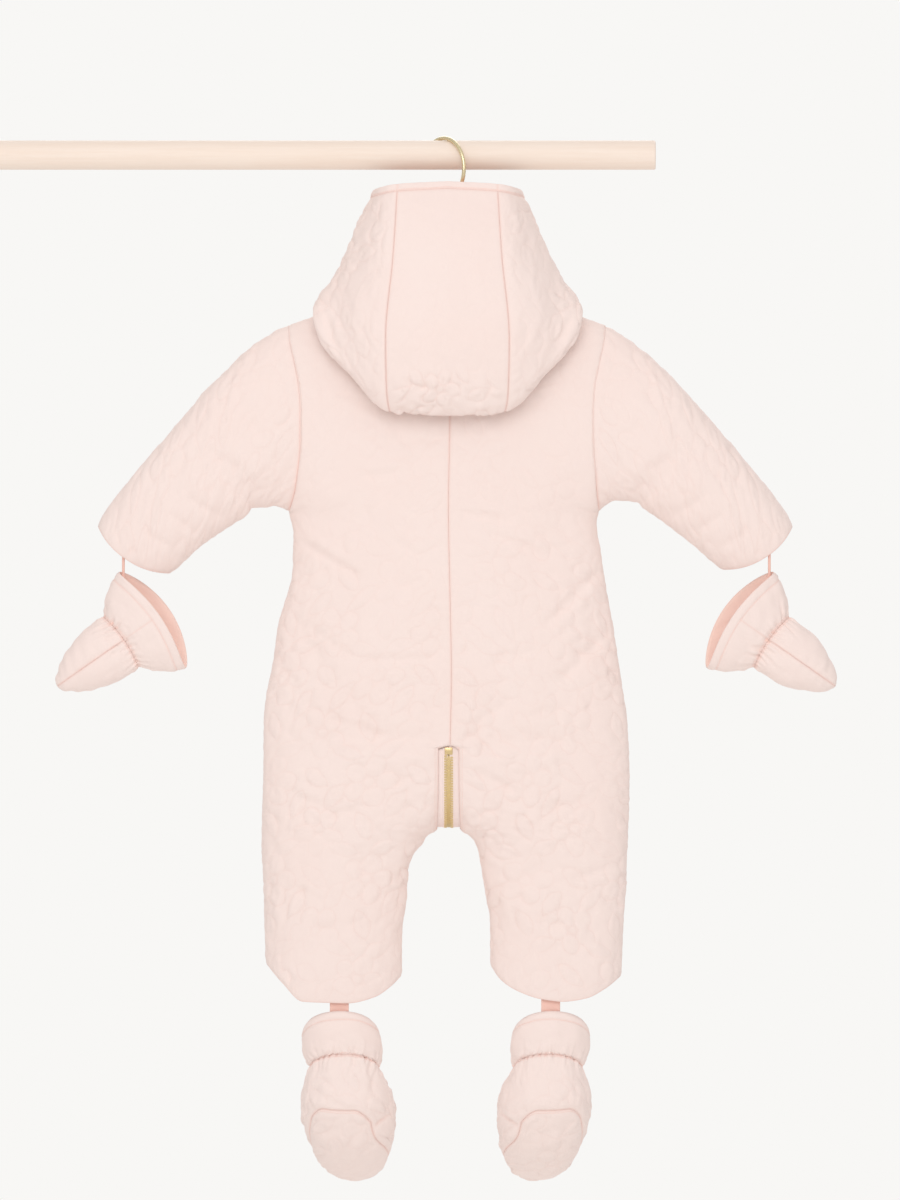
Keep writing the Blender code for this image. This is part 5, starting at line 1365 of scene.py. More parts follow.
def stitch_tree():
    """Stitches along lines: small rounded grains that lie lengthways, slightly uneven."""
    nodes, given = node_tree("stitches", {
        "Pitch": "Float", "Length": "Float", "Thickness": "Float", "Unevenness": "Float", "Seed": "Int",
        "Material": "Material",
    })
    points, turn = points_along(nodes, given)
    uneven = nodes.add("FunctionNodeRandomValue", data_type="FLOAT")
    for socket, value in (("Min", nodes.math("SUBTRACT", 1.0, given["Unevenness"])),
                          ("Max", nodes.math("ADD", 1.0, given["Unevenness"])),
                          ("Seed", given["Seed"])):
        found = [item for item in uneven.inputs if item.name == socket and item.enabled][0]
        nodes.put(found, value)
    share = [item for item in uneven.outputs if item.enabled][0]
    size = nodes.out("ShaderNodeCombineXYZ", {
        0: given["Thickness"], 1: given["Thickness"], 2: nodes.math("MULTIPLY", given["Length"], share),
    })
    grain = nodes.out("GeometryNodeMeshUVSphere", {"Segments": 6, "Rings": 4, "Radius": 0.5})
    placed = nodes.out("GeometryNodeInstanceOnPoints", {
        "Points": points, "Instance": grain, "Rotation": turn, "Scale": size,
    })
    return finish_tree(nodes, placed, given, True)


def tooth_tree():
    """Zip teeth along lines: each has a rounded outer end and a thin head that meets the other
    row's. The lines' "side" says to which side a tooth's outer end points."""
    nodes, given = node_tree("zip_teeth", {
        "Pitch": "Float", "Reach": "Float", "Height": "Float", "Thickness": "Float",
        "Material": "Material",
    })
    points, upright = points_along(nodes, given)
    side = nodes.out("GeometryNodeInputNamedAttribute", {"Name": "side"}, data_type="FLOAT")
    outwards = nodes.out("ShaderNodeCombineXYZ", {0: side})
    turn = nodes.out("FunctionNodeAlignRotationToVector", {"Rotation": upright, "Vector": outwards},
                     axis="X", pivot_axis="Z")

    def part(made, place, turned_=(0, 0, 0)):
        move = nodes.out("ShaderNodeCombineXYZ", {0: place})
        return nodes.out(
            "GeometryNodeTransform", {"Geometry": made, "Translation": move, "Rotation": turned_})

    def block(long_, high, thick):
        size = nodes.out("ShaderNodeCombineXYZ", {0: long_, 1: thick, 2: high})
        return nodes.add("GeometryNodeMeshCube", {"Size": size}).outputs["Mesh"]

    reach, high, thick = given["Reach"], given["Height"], given["Thickness"]
    radius = nodes.math("MULTIPLY", high, 0.5)
    end = nodes.out("GeometryNodeMeshCylinder", {"Vertices": 12, "Radius": radius, "Depth": thick})
    shapes = [
        part(block(nodes.math("MULTIPLY", reach, 0.40), high, nodes.math("MULTIPLY", thick, 0.94)),
             nodes.math("MULTIPLY", reach, 0.58)),
        part(end, nodes.math("SUBTRACT", reach, radius), (math.pi / 2, 0, 0)),
        part(block(nodes.math("MULTIPLY", reach, 0.80), nodes.math("MULTIPLY", high, 0.42),
                   nodes.math("MULTIPLY", thick, 0.5)), nodes.math("MULTIPLY", reach, 0.02)),
        part(block(nodes.math("MULTIPLY", reach, 0.80), nodes.math("MULTIPLY", high, 0.66),
                   nodes.math("MULTIPLY", thick, 0.12)), nodes.math("MULTIPLY", reach, 0.02)),
    ]
    tooth = nodes.add("GeometryNodeJoinGeometry")
    for shape in shapes:
        nodes.put(tooth.inputs[0], shape)
    placed = nodes.out("GeometryNodeInstanceOnPoints", {
        "Points": points, "Instance": tooth.outputs[0], "Rotation": turn,
    })
    return finish_tree(nodes, placed, given, False)


def along_lines(name, lines, tree, values, marks=None):
    """The plain mesh that a Geometry Nodes tree makes along some lines in table coordinates."""
    mesh = bpy.data.meshes.new(f"{name}_lines")
    ends = np.cumsum([0] + [len(line) for line in lines])
    edges = [(k, k + 1) for first, last in zip(ends, ends[1:]) for k in range(first, last - 1)]
    mesh.from_pydata(world(np.concatenate(lines)).tolist(), edges, [])
    for key, given in (marks or {}).items():
        each = np.concatenate([np.full(len(line), value) for line, value in zip(lines, given)])
        mesh.attributes.new(key, "FLOAT", "POINT").data.foreach_set("value", each.astype(np.float32))
    source = new_object(f"{name}_lines", mesh)
    modifier = source.modifiers.new(tree.name, "NODES")
    modifier.node_group = tree
    for item in tree.interface.items_tree:
        if item.in_out == "INPUT" and item.name in values:
            modifier[item.identifier] = values[item.name]
    ready = source.evaluated_get(bpy.context.evaluated_depsgraph_get())
    made = bpy.data.meshes.new_from_object(ready)
    source.modifiers.remove(modifier)
    bpy.data.objects.remove(source)
    made.name = name
    return new_object(name, made)


# ------------------------------------------------------------------ pieces
grids, normals = {}, {}


def make_grids():
    for side in (LEFT, RIGHT):
        for face in (BACK, FRONT):
            grids[side, face] = body_grid(side, face)
        grids[side, None] = sleeve_grid(side)
    normals.update(shared_normals(grids))


def prepare(scene):
    """The grids and materials that the pieces share, made again only when a colour has changed."""
    if not grids:
        make_grids()
    colours = {
        key: tuple(getattr(scene.snowsuit_colours, key)) for key in SnowsuitColours.__annotations__}
    if finishes.get("colours") != colours or "quilted_cotton" not in bpy.data.materials:
        make_finishes(colours)
        finishes["colours"] = colours


def cloth_materials():
    return [finishes["cotton"], finishes["lining"]]


def cloth_panel(name, node, grid, normal, quilt_at, folds=0, seed=0, strength=1.0, around=False,
                ripple=0.5, sewn_at=None, sunk=0):
    """A quilted panel with its seams, puckers and unevenness, handed to the frame. sewn_at is the
    distance to a seam that runs inside the grid."""
    u, v = cloth_coordinates(grid)
    edge, along = edge_distances(u, v, around)
    if sewn_at is not None:
        along = np.where(sewn_at < edge, v, along)
        edge = np.minimum(edge, sewn_at)
    margin = eased(edge / 11)
    rise, outline, eye, patchy = quilted(*quilt_at, strength)
    rise = np.maximum(rise * margin + sewn(edge, along, seed) + sunk, THIN_EDGE - CLOTH)
    sway = (folds + ripple * ripples(u, v, seed)) * eased(edge / 16)
    marks = {"seam": bell(edge, 1.1), "outline": outline, "eye": eye, "quilt": margin * patchy}
    obj = wall(name, grid, normal, rise, sway, (u, v), marks, cloth_materials(), CLOTH, around)
    place_cloth(obj, node, grid, around=around)
    return obj


def make_body():
    for side in (LEFT, RIGHT):
        for face in (BACK, FRONT):
            grid = grids[side, face]
            u, _ = cloth_coordinates(grid)
            name = f"{FACE_NAMES[face]}_{SIDE_NAMES[side]}"
            x, drop = grid[..., 0], grid[..., 2]
            folds = fold_rise(FOLDS[face], x, drop) + CREASE_STRONG * fold_rise(CREASES[face], x, drop)
            plain = PLAIN_BACK if face == BACK else PLAIN_FRONT
            strength = plain + (1 - plain) * eased((drop - PLAIN_DROPS[0]) / PLAIN_DROPS[1])
            across = (u[:, -1:] - u) * -side + PATTERN_SHIFT[side]
            zipped = eased((drop[:, :1] - SLIT_DROP + 4) / 6) if face == BACK else np.ones((len(u), 1))
            rows = np.arange(len(u))[:, None]
            zipped = zipped * (rows <= ARMHOLE_ROWS + WAIST_ROWS + CROTCH_ROWS)
            under = np.clip(normals[side, face][:, :1, 2], 0, 1) ** 2
            sunk = -(ZIP_EDGE_SINK + CROTCH_SINK * under) * zipped
            sunk = sunk * bell(u, ZIP_EDGE_WIDE + CROTCH_WIDE * under)
            cloth_panel(f"cloth_{name}", name, grid, normals[side, face], (across, drop), folds,
                        seed=face + 2 * side + 5, strength=strength, sunk=sunk)


def make_sleeves():
    for side in (LEFT, RIGHT):
        grid = grids[side, None]
        u, v = cloth_coordinates(grid)
        whole = u[:, -1:] + np.linalg.norm(grid[:, :1] - grid[:, -1:], axis=2)
        u = np.where(np.arange(u.shape[1]) <= ARMHOLE_ROWS, u, u - whole)
        half = side * (grid[..., 0] - MIRROR_X)
        folds = fold_rise(SLEEVE_FOLDS, half, grid[..., 2])
        folds += CREASE_STRONG * fold_rise(SLEEVE_CREASES, half, grid[..., 2])
        underarm = np.abs(np.abs(u) - np.abs(u[:, ARMHOLE_ROWS:ARMHOLE_ROWS + 1]))
        name = f"sleeve_{SIDE_NAMES[side]}"
        cloth_panel(f"cloth_{name}", name, grid, normals[side, None], (u + 40, v + 10), folds,
                    seed=20 + side, around=True, sewn_at=underarm, strength=SLEEVE_QUILT)


def make_hood():
    left, right = hood_half(grids, LEFT), hood_half(grids, RIGHT)
    right[:, 0] = left[:, 0] = (left[:, 0] + right[:, 0]) / 2
    whole = np.concatenate([left[:, :0:-1], right], axis=1)
    u, v = cloth_coordinates(whole)
    middle = left.shape[1] - 1
    normal = grid_normals(whole, False, (0, BACK, 0))
    foot = whole[0] / [NECK_HALF**2, NECK_DEPTH**2, math.inf]
    foot /= np.linalg.norm(foot, axis=1, keepdims=True)
    place = np.abs(np.arange(len(foot)) - middle)[:, None] * HOOD_PLACES[-1] / middle
    collar = eased((place - COLLAR_PLACE) / 2)
    normal[0] = foot * collar + normal[0] * (1 - collar)
    normal[0] /= np.linalg.norm(normal[0], axis=1, keepdims=True)
    for k in range(1, NECK_BLEND):
        share = k / NECK_BLEND
        normal[k] = normal[0] * (1 - share) + normal[k] * share
        normal[k] /= np.linalg.norm(normal[k], axis=1, keepdims=True)
    seam = round(HOOD_PLACES[1] * middle / HOOD_PLACES[-1])
    cuts = {"side_left": (0, middle - seam), "centre": (middle - seam, middle + seam),
            "side_right": (middle + seam, 2 * middle)}
    rows = slice(0, HOOD_ROWS + 1)
    for seed, (name, (first, last)) in enumerate(cuts.items()):
        part = (rows, slice(first, last + 1))
        own = (first + last) // 2
        across = u[part] - u[rows, own:own + 1]
        down = np.broadcast_to(v[rows, own:own + 1], across.shape)
        clear = eased((v[part] - HOOD_PLAIN + HOOD_FADE) / HOOD_FADE)
        if name == "centre":
            clear = clear * (1 - 0.85 * eased((v[part] - HOOD_FLOWERS[0]) / HOOD_FLOWERS[1]))
            across, down = across * HOOD_SMALL, (down - HOOD_PLAIN - 8) * HOOD_SMALL
        x, y, drop = np.moveaxis(whole[part], -1, 0)
        folds = fold_rise(HOOD_FOLDS, x, drop) * (y < 0)
        cloth_panel(f"cloth_hood_{name}", f"hood_{name}", whole[part], normal[part],
                    (across + HOOD_SHIFTS[seed], down), folds, 30 + seed, clear * HOOD_STRONG[name])
    part = (slice(HOOD_ROWS, None), slice(None))
    grid = whole[part]
    u, v = cloth_coordinates(grid)
    roll = 0.35 * np.sin(np.clip(v / v[-1], 0, 1) * math.pi)
    near = np.min([np.abs(u - u[:, middle + k, None]) for k in (-seam, seam)], axis=0)
    joins = bell(near, 1.2)
    marks = {"seam": np.maximum(bell(v, 1.2), 0.8 * joins)}
    rise = roll + sewn(v, u, 3) - 0.5 * joins
    obj = wall("cloth_hood_band", grid, normal[part], rise, 0 * v, (u, v), marks, plain_materials())
    place_cloth(obj, "hood_band", grid, turned_in=CLOTH)


def make_mittens():
    for side in (LEFT, RIGHT):
        grid = mitten_grid(side)
        name = f"mitten_{SIDE_NAMES[side]}"
        normal = grid_normals(grid, True, None)
        cells = grid.shape[1]
        waist = cloth_coordinates(grid)[0][MITTEN_CUFF_ROWS]
        whole = waist[-1] * cells / (cells - 1)
        away = np.broadcast_to((mitten_rows() - MITTEN_WAIST)[:, None], grid.shape[:2])
        around = np.broadcast_to(waist, grid.shape[:2])
        creased = gathered(around, whole, away, 26, 60 + side)
        x, drop = grid[..., 0] * side, grid[..., 2]
        creased += fold_rise(MITTEN_FOLDS, x, drop) * (grid[..., 1] < MITTEN_Y + 4)
        quarter, hand = cells // 4, slice(MITTEN_CUFF_ROWS, None)
        parts = {
            "cuff": (slice(0, MITTEN_CUFF_ROWS + 1), np.arange(cells), True, False),
            "hand_upper": (hand, np.arange(-quarter, quarter + 1), False, True),
            "hand_under": (hand, np.arange(quarter, 3 * quarter + 1), False, True),
        }
        for part, (rows, cols, open_ring, tip) in parts.items():
            piece, n = grid[rows][:, cols % cells], normal[rows][:, cols % cells]
            if tip:
                end = piece[-1, 0] - piece[-2].mean(0)
                n[-1] = end / np.linalg.norm(end)
            u, v = cloth_coordinates(piece)
            rise = creased[rows][:, cols % cells]
            if part == "cuff":
                edge = v[-1] - v
                rise = rise * eased((v - CUFF_HEM) / 5) + hem_rise(v)
                seam = np.maximum(0.8 * bell(edge, 1.6), hem_mark(v))
                joins = np.abs(u - u[:, quarter, None]) * (v > CUFF_HEM) + 20 * (v <= CUFF_HEM)
                rise = rise - 0.8 * bell(joins, 1.3)
                seam = np.maximum(seam, 0.7 * bell(joins, 0.9))
            else:
                sides = np.minimum(u, u[:, -1:] - u)
                edge = np.minimum(v, sides)
                seam = bell(edge, 1.2)
                left = v[-1] - v
                rise = rise * eased(left / 12) + sewn(sides, v, 7 + side) * eased(left / 9)
            rise = rise - 0.9 * bell(v[-1] - v if part == "cuff" else v, 2.2)
            sway = 0.6 * ripples(u, v, 40 + side + tip, 24.0) * eased(edge / 8) * eased(v / 6)
            obj = wall(f"cloth_{name}_{part}", piece, n, rise, sway, (u, v), {"seam": seam},
                       plain_materials(), LIGHT_CLOTH, open_ring, tip)
            place_cloth(obj, f"{name}_{part}", piece, around=open_ring)


def hem_rise(v):
    """The turned hem of a cuff: a soft flat band, stitched down at its lower edge."""
    band = 0.25 * eased(v / 2) * eased((CUFF_HEM - v) / 2)
    return band - 0.7 * bell(v - CUFF_HEM, 1.0) - 0.7 * bell(v, 1.2)


def hem_mark(v):
    return 0.6 * bell(v - CUFF_HEM, 0.9)


def plain_materials():
    return [finishes["plain"], finishes["lining"]]


def make_booties():
    for side in (LEFT, RIGHT):
        grid = bootie_grid(side)
        name = f"bootie_{SIDE_NAMES[side]}"
        normal = evened(grid_normals(grid, True, None), grid)
        cells = grid.shape[1]
        u, v = cloth_coordinates(grid)
        foot = BOOTIE_CUFF_ROWS
        first, last = sole_columns()
        keep = np.zeros((len(grid) - 1, cells), int)
        keep[foot:] = 1
        keep[foot + sole_row():, first:last] = 2
        for part, number in {"cuff": 0, "upper": 1, "sole": 2}.items():
            bootie_part(side, f"{name}_{part}", grid, normal, keep, number, u, v)


def evened(normal, grid):
    """A ring grid's normals, all pointing away from their ring's middle, and smoothed round it."""
    away = (normal * (grid - grid.mean(1, keepdims=True))).sum(2, keepdims=True)
    normal[:-8] *= np.where(away < 0, -1, 1)[:-8]
    for _ in range(3):
        normal = normal + np.roll(normal, 1, 1) + np.roll(normal, -1, 1)
        normal /= np.maximum(np.linalg.norm(normal, axis=2, keepdims=True), 1e-6)
    return normal


def bootie_part(side, name, grid, normal, keep, number, u, v):
    """One piece of a bootie, cut out of its whole grid."""
    foot = BOOTIE_CUFF_ROWS
    cells = grid.shape[1]
    inside = keep == number
    near = distance_inside(inside, grid)
    seam = bell(near, 1.2)
    rise = -0.9 * bell(near, 2.0)
    away = v - v[foot]
    waist = np.broadcast_to(u[foot], u.shape)
    whole = u[foot, -1] * cells / (cells - 1)
    creased = gathered(waist, whole, away, 28, 80 + side)
    x, drop = side * (grid[..., 0] - BOOTIE_X[side]), grid[..., 2]
    back = grid[..., 1] < BOOTIE_Y
    marks = {}
    if number == 0:
        rise = rise + creased * eased((v - CUFF_HEM) / 5) + hem_rise(v)
        seam = np.maximum(0.8 * seam * (v > CUFF_HEM), hem_mark(v))
    else:
        quilt, outline, eye, patchy = quilted(u + 30 * side, v, 0.75)
        clear = eased(near / 8) * eased((away - 8) / 14) * eased((v[-1] - v) / 25)
        rise = rise + quilt * clear + creased
        marks = {"outline": outline, "eye": eye, "quilt": patchy * clear}
        if number == 1:
            dart = -fold_rise(BOOTIE_DART, x, drop) * back * eased(near / 4)
            rise, seam = rise - dart, np.maximum(seam, np.minimum(dart * 0.6, 1))
        rise = rise + fold_rise(BOOTIE_FOLDS, x, drop) * back * eased(near / 5)
    sway = 0.6 * ripples(u, v, 50 + side + number, 26.0) * eased(near / 8)
    marks["seam"] = seam
    ragged_wall(f"cloth_{name}", name, grid, normal, rise, sway, (u, v), marks, inside)


def distance_inside(inside, grid):
    """Rough distance along the cloth from each grid point to the piece's own edge."""
    rows, cols = grid.shape[:2]
    touching = np.zeros((rows, cols), int)
    padded = inside.astype(int)
    for di in (0, 1):
        for dj in (0, 1):
            touching[di: di + rows - 1] += np.roll(padded, dj, axis=1)
    border = np.argwhere((touching > 0) & (touching < 4))
    border = border[(border[:, 0] < rows - 1) | ~inside[-1, border[:, 1] % cols]]
    edge = grid[border[:, 0], border[:, 1]]
    best = np.full((rows, cols), 1e9)
    for i in range(rows):
        off = np.linalg.norm(grid[i][:, None] - edge[None], axis=2)
        best[i] = off.min(1)
    return best


def ragged_wall(name, node, grid, normal, rise, sway, uv, marks, inside):
    """A closed wall over those cells of a ring grid that belong to one piece, both faces alike."""
    rows, cols = grid.shape[:2]
    used = np.zeros((rows, cols), bool)
    for di in (0, 1):
        for dj in (0, 1):
            used[di: di + rows - 1] |= np.roll(inside, dj, axis=1)
    rim = edge_pull(grid, inside)
    outer = grid + normal * (rise + sway)[..., None] + rim
    inner = grid + normal * (sway - LIGHT_CLOTH)[..., None] + rim
    number = np.full((rows, cols), -1)
    number[used] = np.arange(used.sum())
    if used[-1].any():
        number[-1][used[-1]] = number[-1][used[-1]][0]
    total = number.max() + 1
    faces, index = [], []
    for i, j in np.argwhere(inside):
        k = (j + 1) % cols
        around = ((i, j), (i, k), (i + 1, k), (i + 1, j))
        quad = list(dict.fromkeys(int(number[place]) for place in around))
        faces += [quad, [n + total for n in quad[::-1]]]
        index += [0, 1]
        corners = {"up": ((i, j), (i, k)), "down": ((i + 1, k), (i + 1, j)),
                   "back": ((i + 1, j), (i, j)), "ahead": ((i, k), (i + 1, k))}
        beyond = {"up": (i - 1, j), "down": (i + 1, j), "back": (i, (j - 1) % cols), "ahead": (i, k)}
        for way, (p, q) in corners.items():
            m, n = beyond[way]
            if (0 <= m < rows - 1 and inside[m, n]) or (way == "down" and i == rows - 2):
                continue
            a, b = int(number[p]), int(number[q])
            if a != b:
                faces.append([b, a, a + total, b + total])
                index.append(0)

    def at_points(values):
        """A grid's values, one for each point of the piece."""
        own = np.zeros((total, *values.shape[2:]))
        own[number[used]] = values[used]
        return own

    flat = at_points(np.stack(uv, axis=-1) * MM)
    full = {key: np.concatenate([at_points(mark), np.zeros(total)]) for key, mark in marks.items()}
    obj = cloth_object(name, np.concatenate([at_points(outer), at_points(inner)]), faces, index,
                       np.concatenate([flat, flat]), full, cloth_materials())
    surfaces[name] = (outer, normal, *uv)
    hand_over(obj, node)
    across = np.linalg.norm(np.roll(grid, -1, 1) - grid, axis=2)
    down = np.linalg.norm(np.diff(grid, axis=0), axis=2)
    cell = (across[:-1] + across[1:]) / 2 * (down + np.roll(down, -1, 1)) / 2
    area = cell[inside].sum() * MM * MM
    width = (across[:-1] * inside).sum(1).max() * MM
    length = (down * inside).sum(0).max() * MM


def edge_pull(grid, inside):
    """Steps that draw a piece's edges in along the cloth."""
    rows, cols = grid.shape[:2]
    right = np.zeros((rows - 1, cols))
    right[:] = inside
    left = np.roll(right, 1, axis=1)
    blank = np.zeros((1, cols))
    below, above = np.vstack([right + left, blank]), np.vstack([blank, right + left])
    after = np.vstack([right, blank]) + np.vstack([blank, right])
    before = np.vstack([left, blank]) + np.vstack([blank, left])
    inset = np.zeros_like(grid)
    for more, less, axis in ((below, above, 0), (after, before, 1)):
        for sign in (1, -1):
            step = np.roll(grid, -sign, axis) - grid
            step /= np.maximum(np.linalg.norm(step, axis=2, keepdims=True), 1e-9)
            inset += step * (np.sign(more - less) == sign)[..., None] * EDGE_TRIM
    inset[-1] = 0
    return inset


def make_ties():
    for side in (LEFT, RIGHT):
        name = f"tie_{SIDE_NAMES[side]}"
        count = int((TIE_DROPS[1] - TIE_DROPS[0]) / TIE_STEP) + 1
        path = np.array([(TIE_X[side], MITTEN_Y, drop) for drop in np.linspace(*TIE_DROPS, count)])
        obj = sweep(name, path, oval(TIE_RADIUS, TIE_RADIUS, 12), [finishes["tape"]])
        hand_over(obj, f"mitten_{SIDE_NAMES[side]}_tie")
        strap = sweep(
            f"tape_{SIDE_NAMES[side]}", strap_path(side), strap_section(), [finishes["tape"]], sharp=50)
        hand_over(strap, f"bootie_{SIDE_NAMES[side]}_tape")


def strap_path(side):
    return [(STRAP_X[side], STRAP_Y, drop) for drop in np.linspace(*STRAP_DROPS, 24)]


def strap_section():
    """A woven tape's section: flat, with a thicker edge."""
    half, thin = STRAP_HALF, TAPE / 2
    flat = half - 0.5
    return [(-half, 0), (-flat, -thin), (flat, -thin), (half, 0), (flat, thin), (-flat, thin)]


# ------------------------------------------------------------------ zip
def zip_line():
    """The inside of the panels' zip edge, from the front neck under the crotch to the back slit."""
    crotch = ARMHOLE_ROWS + WAIST_ROWS + CROTCH_ROWS
    slit = ARMHOLE_ROWS + WAIST_ROWS + 1
    inside = {
        face: (grids[RIGHT, face] - normals[RIGHT, face] * CLOTH)[:, 0, 1:] for face in (BACK, FRONT)
    }
    line = np.concatenate([inside[FRONT][: crotch + 1: 4], inside[BACK][crotch - 1: slit - 1: -4]])
    if not np.allclose(line[-1], inside[BACK][slit]):
        line = np.vstack([line, inside[BACK][slit]])
    return line


def mitred(line):
    """For each point of a (y, drop) line, the step that moves it one unit to the inside."""
    ahead = np.diff(line, axis=0)
    ahead /= np.linalg.norm(ahead, axis=1, keepdims=True)
    inward = np.stack([-ahead[:, 1], ahead[:, 0]], axis=1)
    before, after = np.vstack([inward[:1], inward]), np.vstack([inward, inward[-1:]])
    both = before + after
    return both * (2 / (both**2).sum(1, keepdims=True))


def part_of(line, start, end, step=3.0):
    """A line from one distance along it to another, with even points."""
    along = lengths_along(line)
    count = max(2, int(round((end - start) / step)) + 1)
    return resampled(line, np.linspace(start, end, count) / along[-1])


def zip_strip(name, line, section):
    """A tape along the zip's line. section gives its (x, depth) points for a share of the line."""
    along = lengths_along(line)
    points, flat = [], []
    for place, step, at in zip(line, mitred(line), along):
        outline = section(at / along[-1])
        points += [(x, *(place + step * depth)) for x, depth in outline]
        flat += [(x * MM, at * MM) for x, _ in section(1)]
    faces = tube_faces(len(line), len(outline))
    obj = mesh_from(name, world(points), faces, [finishes["zip_tape"]], sharp=30)
    add_uv(obj.data, np.array(flat))
    face_outwards(obj.data)
    return obj


def tape_section(side, share):
    """A tape's section: its edge lies between the teeth, and above the end piece it closes the
    slit."""
    inner = TAPE_INNER - (TAPE_INNER - TAPE_SLIT) * eased((share - TAPE_CLOSE) * 60)
    low, high = SEAM_GAP, SEAM_GAP + TAPE
    outline = [(inner, low), (TAPE_CORD, low), (TAPE_CORD + 0.4, low + 0.35), (TAPE_REACH, low + 0.2),
               (TAPE_REACH, high), (inner, high)]
    return [(ZIP_X + side * x, depth) for x, depth in outline]


def make_zip():
    line = zip_line()
    total = lengths_along(line)[-1]
    fade = (1 - eased((line[:, 1:] - line[0, 1]) / TUCK_RUN)) * (line[:, :1] > 0)
    tucked = line + fade * [-ZIP_TUCK, 0]
    above = tucked[-1] + (tucked[-1] - tucked[-2]) / np.linalg.norm(tucked[-1] - tucked[-2]) * TAPE_RISE
    for side in (LEFT, RIGHT):
        tape = part_of(np.vstack([tucked, above]), ZIP_START, total + TAPE_RISE, 1.5)
        name = f"zip_tape_{SIDE_NAMES[side]}"
        obj = zip_strip(f"woven_{name}", tape, lambda share, s=side: tape_section(s, share))
        hand_over(obj, name)
    middle = SEAM_GAP + TAPE / 2
    height = size("tooth_height")
    start = ZIP_START + SLIDER_LENGTH + 2 * SEAM_GAP + height / 2
    end = total - STOP_DROPS[1] + STOP_DROPS[0] - 2 * SEAM_GAP - height / 2
    count = int((end - start) / size("tooth_pitch") - 0.5)
    pitch = (end - start) / (count + 0.5)
    path = part_of(tucked, 0, total, 0.6)
    path = path + mitred(path) * middle
    own = lengths_along(path)
    scale = own[-1] / total
    rows = []
    for first in (start, start + pitch / 2):
        shares = (first + np.linspace(0, pitch * count, 4 * count + 1)) * scale / own[-1]
        row = resampled(path, shares)
        rows.append(np.concatenate([np.full((len(row), 1), ZIP_X), row], axis=1))
    values = {"Pitch": pitch * 0.998 * MM, "Reach": TOOTH_REACH * MM, "Height": height * MM,
              "Thickness": CHAIN_THICK * MM, "Material": finishes["brass"]}
    hand_over(along_lines("brass_teeth", rows, finishes["teeth"], values, {"side": (1.0, -1.0)}),
                "zip_chain")


# ------------------------------------------------------------------ sewing
def lifted(name):
    outer, normal, u, v = surfaces[name]
    return outer + normal * STITCH_LIFT, u, v


def row_at(name, away, wave=0.0):
    """A line across a finished panel, at this distance from its first row, or from its last if
    away is below 0."""
    places, u, v = lifted(name)
    at = v - (v[-1] if np.all(np.asarray(away) < 0) else 0)
    middle = u[len(u) // 2]
    away = np.broadcast_to(away, at.shape[1]) + wave * np.sin(middle / 5.5 + np.sin(middle / 17))
    return np.array([[np.interp(away[j], at[:, j], places[:, j, k]) for k in range(3)]
                     for j in range(at.shape[1])])


def column_at(name, away, rows=slice(None), wave=0.0):
    """A line down a finished panel, at this distance from its first column, or from its last."""
    places, u, v = lifted(name)
    places, u, v = places[rows], u[rows], v[rows]
    at = u - (u[:, -1:] if away < 0 else 0)
    away = away + wave * np.sin(v[:, 0] / 6.5 + np.sin(v[:, 0] / 19))
    return np.array([[np.interp(away[i], at[i], places[i, :, k]) for k in range(3)]
                     for i in range(len(at))])


def closed(line):
    return np.concatenate([line, line[:1]])


def sew(name, lines, seed, fine=1.0):
    """Stitches along some lines, as one piece of the garment."""
    values = {"Pitch": size("stitch_pitch") * fine * MM, "Length": size("stitch_length") * fine * MM,
              "Thickness": size("stitch_thickness") * MM, "Unevenness": 0.18, "Seed": seed,
              "Material": finishes["thread"]}
    obj = along_lines(name, lines, finishes["stitches"], values)
    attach(obj, GARMENT)


def make_stitches():
    hood = [row_at("cloth_hood_band", 1.3, 0.25)]
    hood += [column_at("cloth_hood_centre", away, slice(3, -3), 0.15) for away in (0.5, -0.5)]
    sew("hood_stitches", hood, 1, 0.85)
    crotch = ARMHOLE_ROWS + WAIST_ROWS + CROTCH_ROWS
    slit = ARMHOLE_ROWS + WAIST_ROWS
    rows = []
    for side in (LEFT, RIGHT):
        back, front = (f"cloth_{face}_{SIDE_NAMES[side]}" for face in ("back", "front"))
        rows += [row_at(f"cloth_sleeve_{SIDE_NAMES[side]}", 0.5),
                 column_at(back, -0.5, slice(ARMHOLE_ROWS, -2)),
                 column_at(back, ZIP_STITCH, slice(slit + 2, crotch - 3), 0.12),
                 column_at(front, ZIP_STITCH, slice(3, crotch - 3), 0.12)]
    rows.append(column_at("cloth_back_left", 0.5, slice(2, slit - 1), 0.1))
    sew("body_stitches", rows, 2, 0.85)
    for side in (LEFT, RIGHT):
        name = f"cloth_mitten_{SIDE_NAMES[side]}"
        lines = [closed(row_at(f"{name}_cuff", away, 0.2)) for away in (CUFF_HEM, -ELASTIC_STITCH)]
        lines += [row_at(f"{name}_hand_{part}", ELASTIC_STITCH, 0.2) for part in ("upper", "under")]
        lines += [column_at(f"{name}_hand_upper", away, slice(4, -3)) for away in (0.6, -0.6)]
        sew(f"mitten_{SIDE_NAMES[side]}_stitches", lines, 4 + side, 0.72)
        name = f"cloth_bootie_{SIDE_NAMES[side]}"
        elastic = lifted(f"{name}_cuff")[2][BOOTIE_CUFF_ROWS]
        places = (("cuff", CUFF_HEM), ("cuff", elastic - ELASTIC_STITCH),
                  ("upper", elastic + ELASTIC_STITCH))
        lines = [closed(row_at(f"{name}_{part}", away, 0.2)) for part, away in places]
        lines.append(sole_line(f"{name}_sole"))
        sew(f"bootie_{SIDE_NAMES[side]}_stitches", lines, 8 + side, 0.72)


def sole_line(name):
    """The sole's seam, up one side, across, and down the other."""
    places = lifted(name)[0]
    first, last = sole_columns()
    top = BOOTIE_CUFF_ROWS + sole_row() + 1
    return np.concatenate(
        [places[-8:top:-1, first + 1], places[top, first + 1:last], places[top + 1:-8, last - 1]])


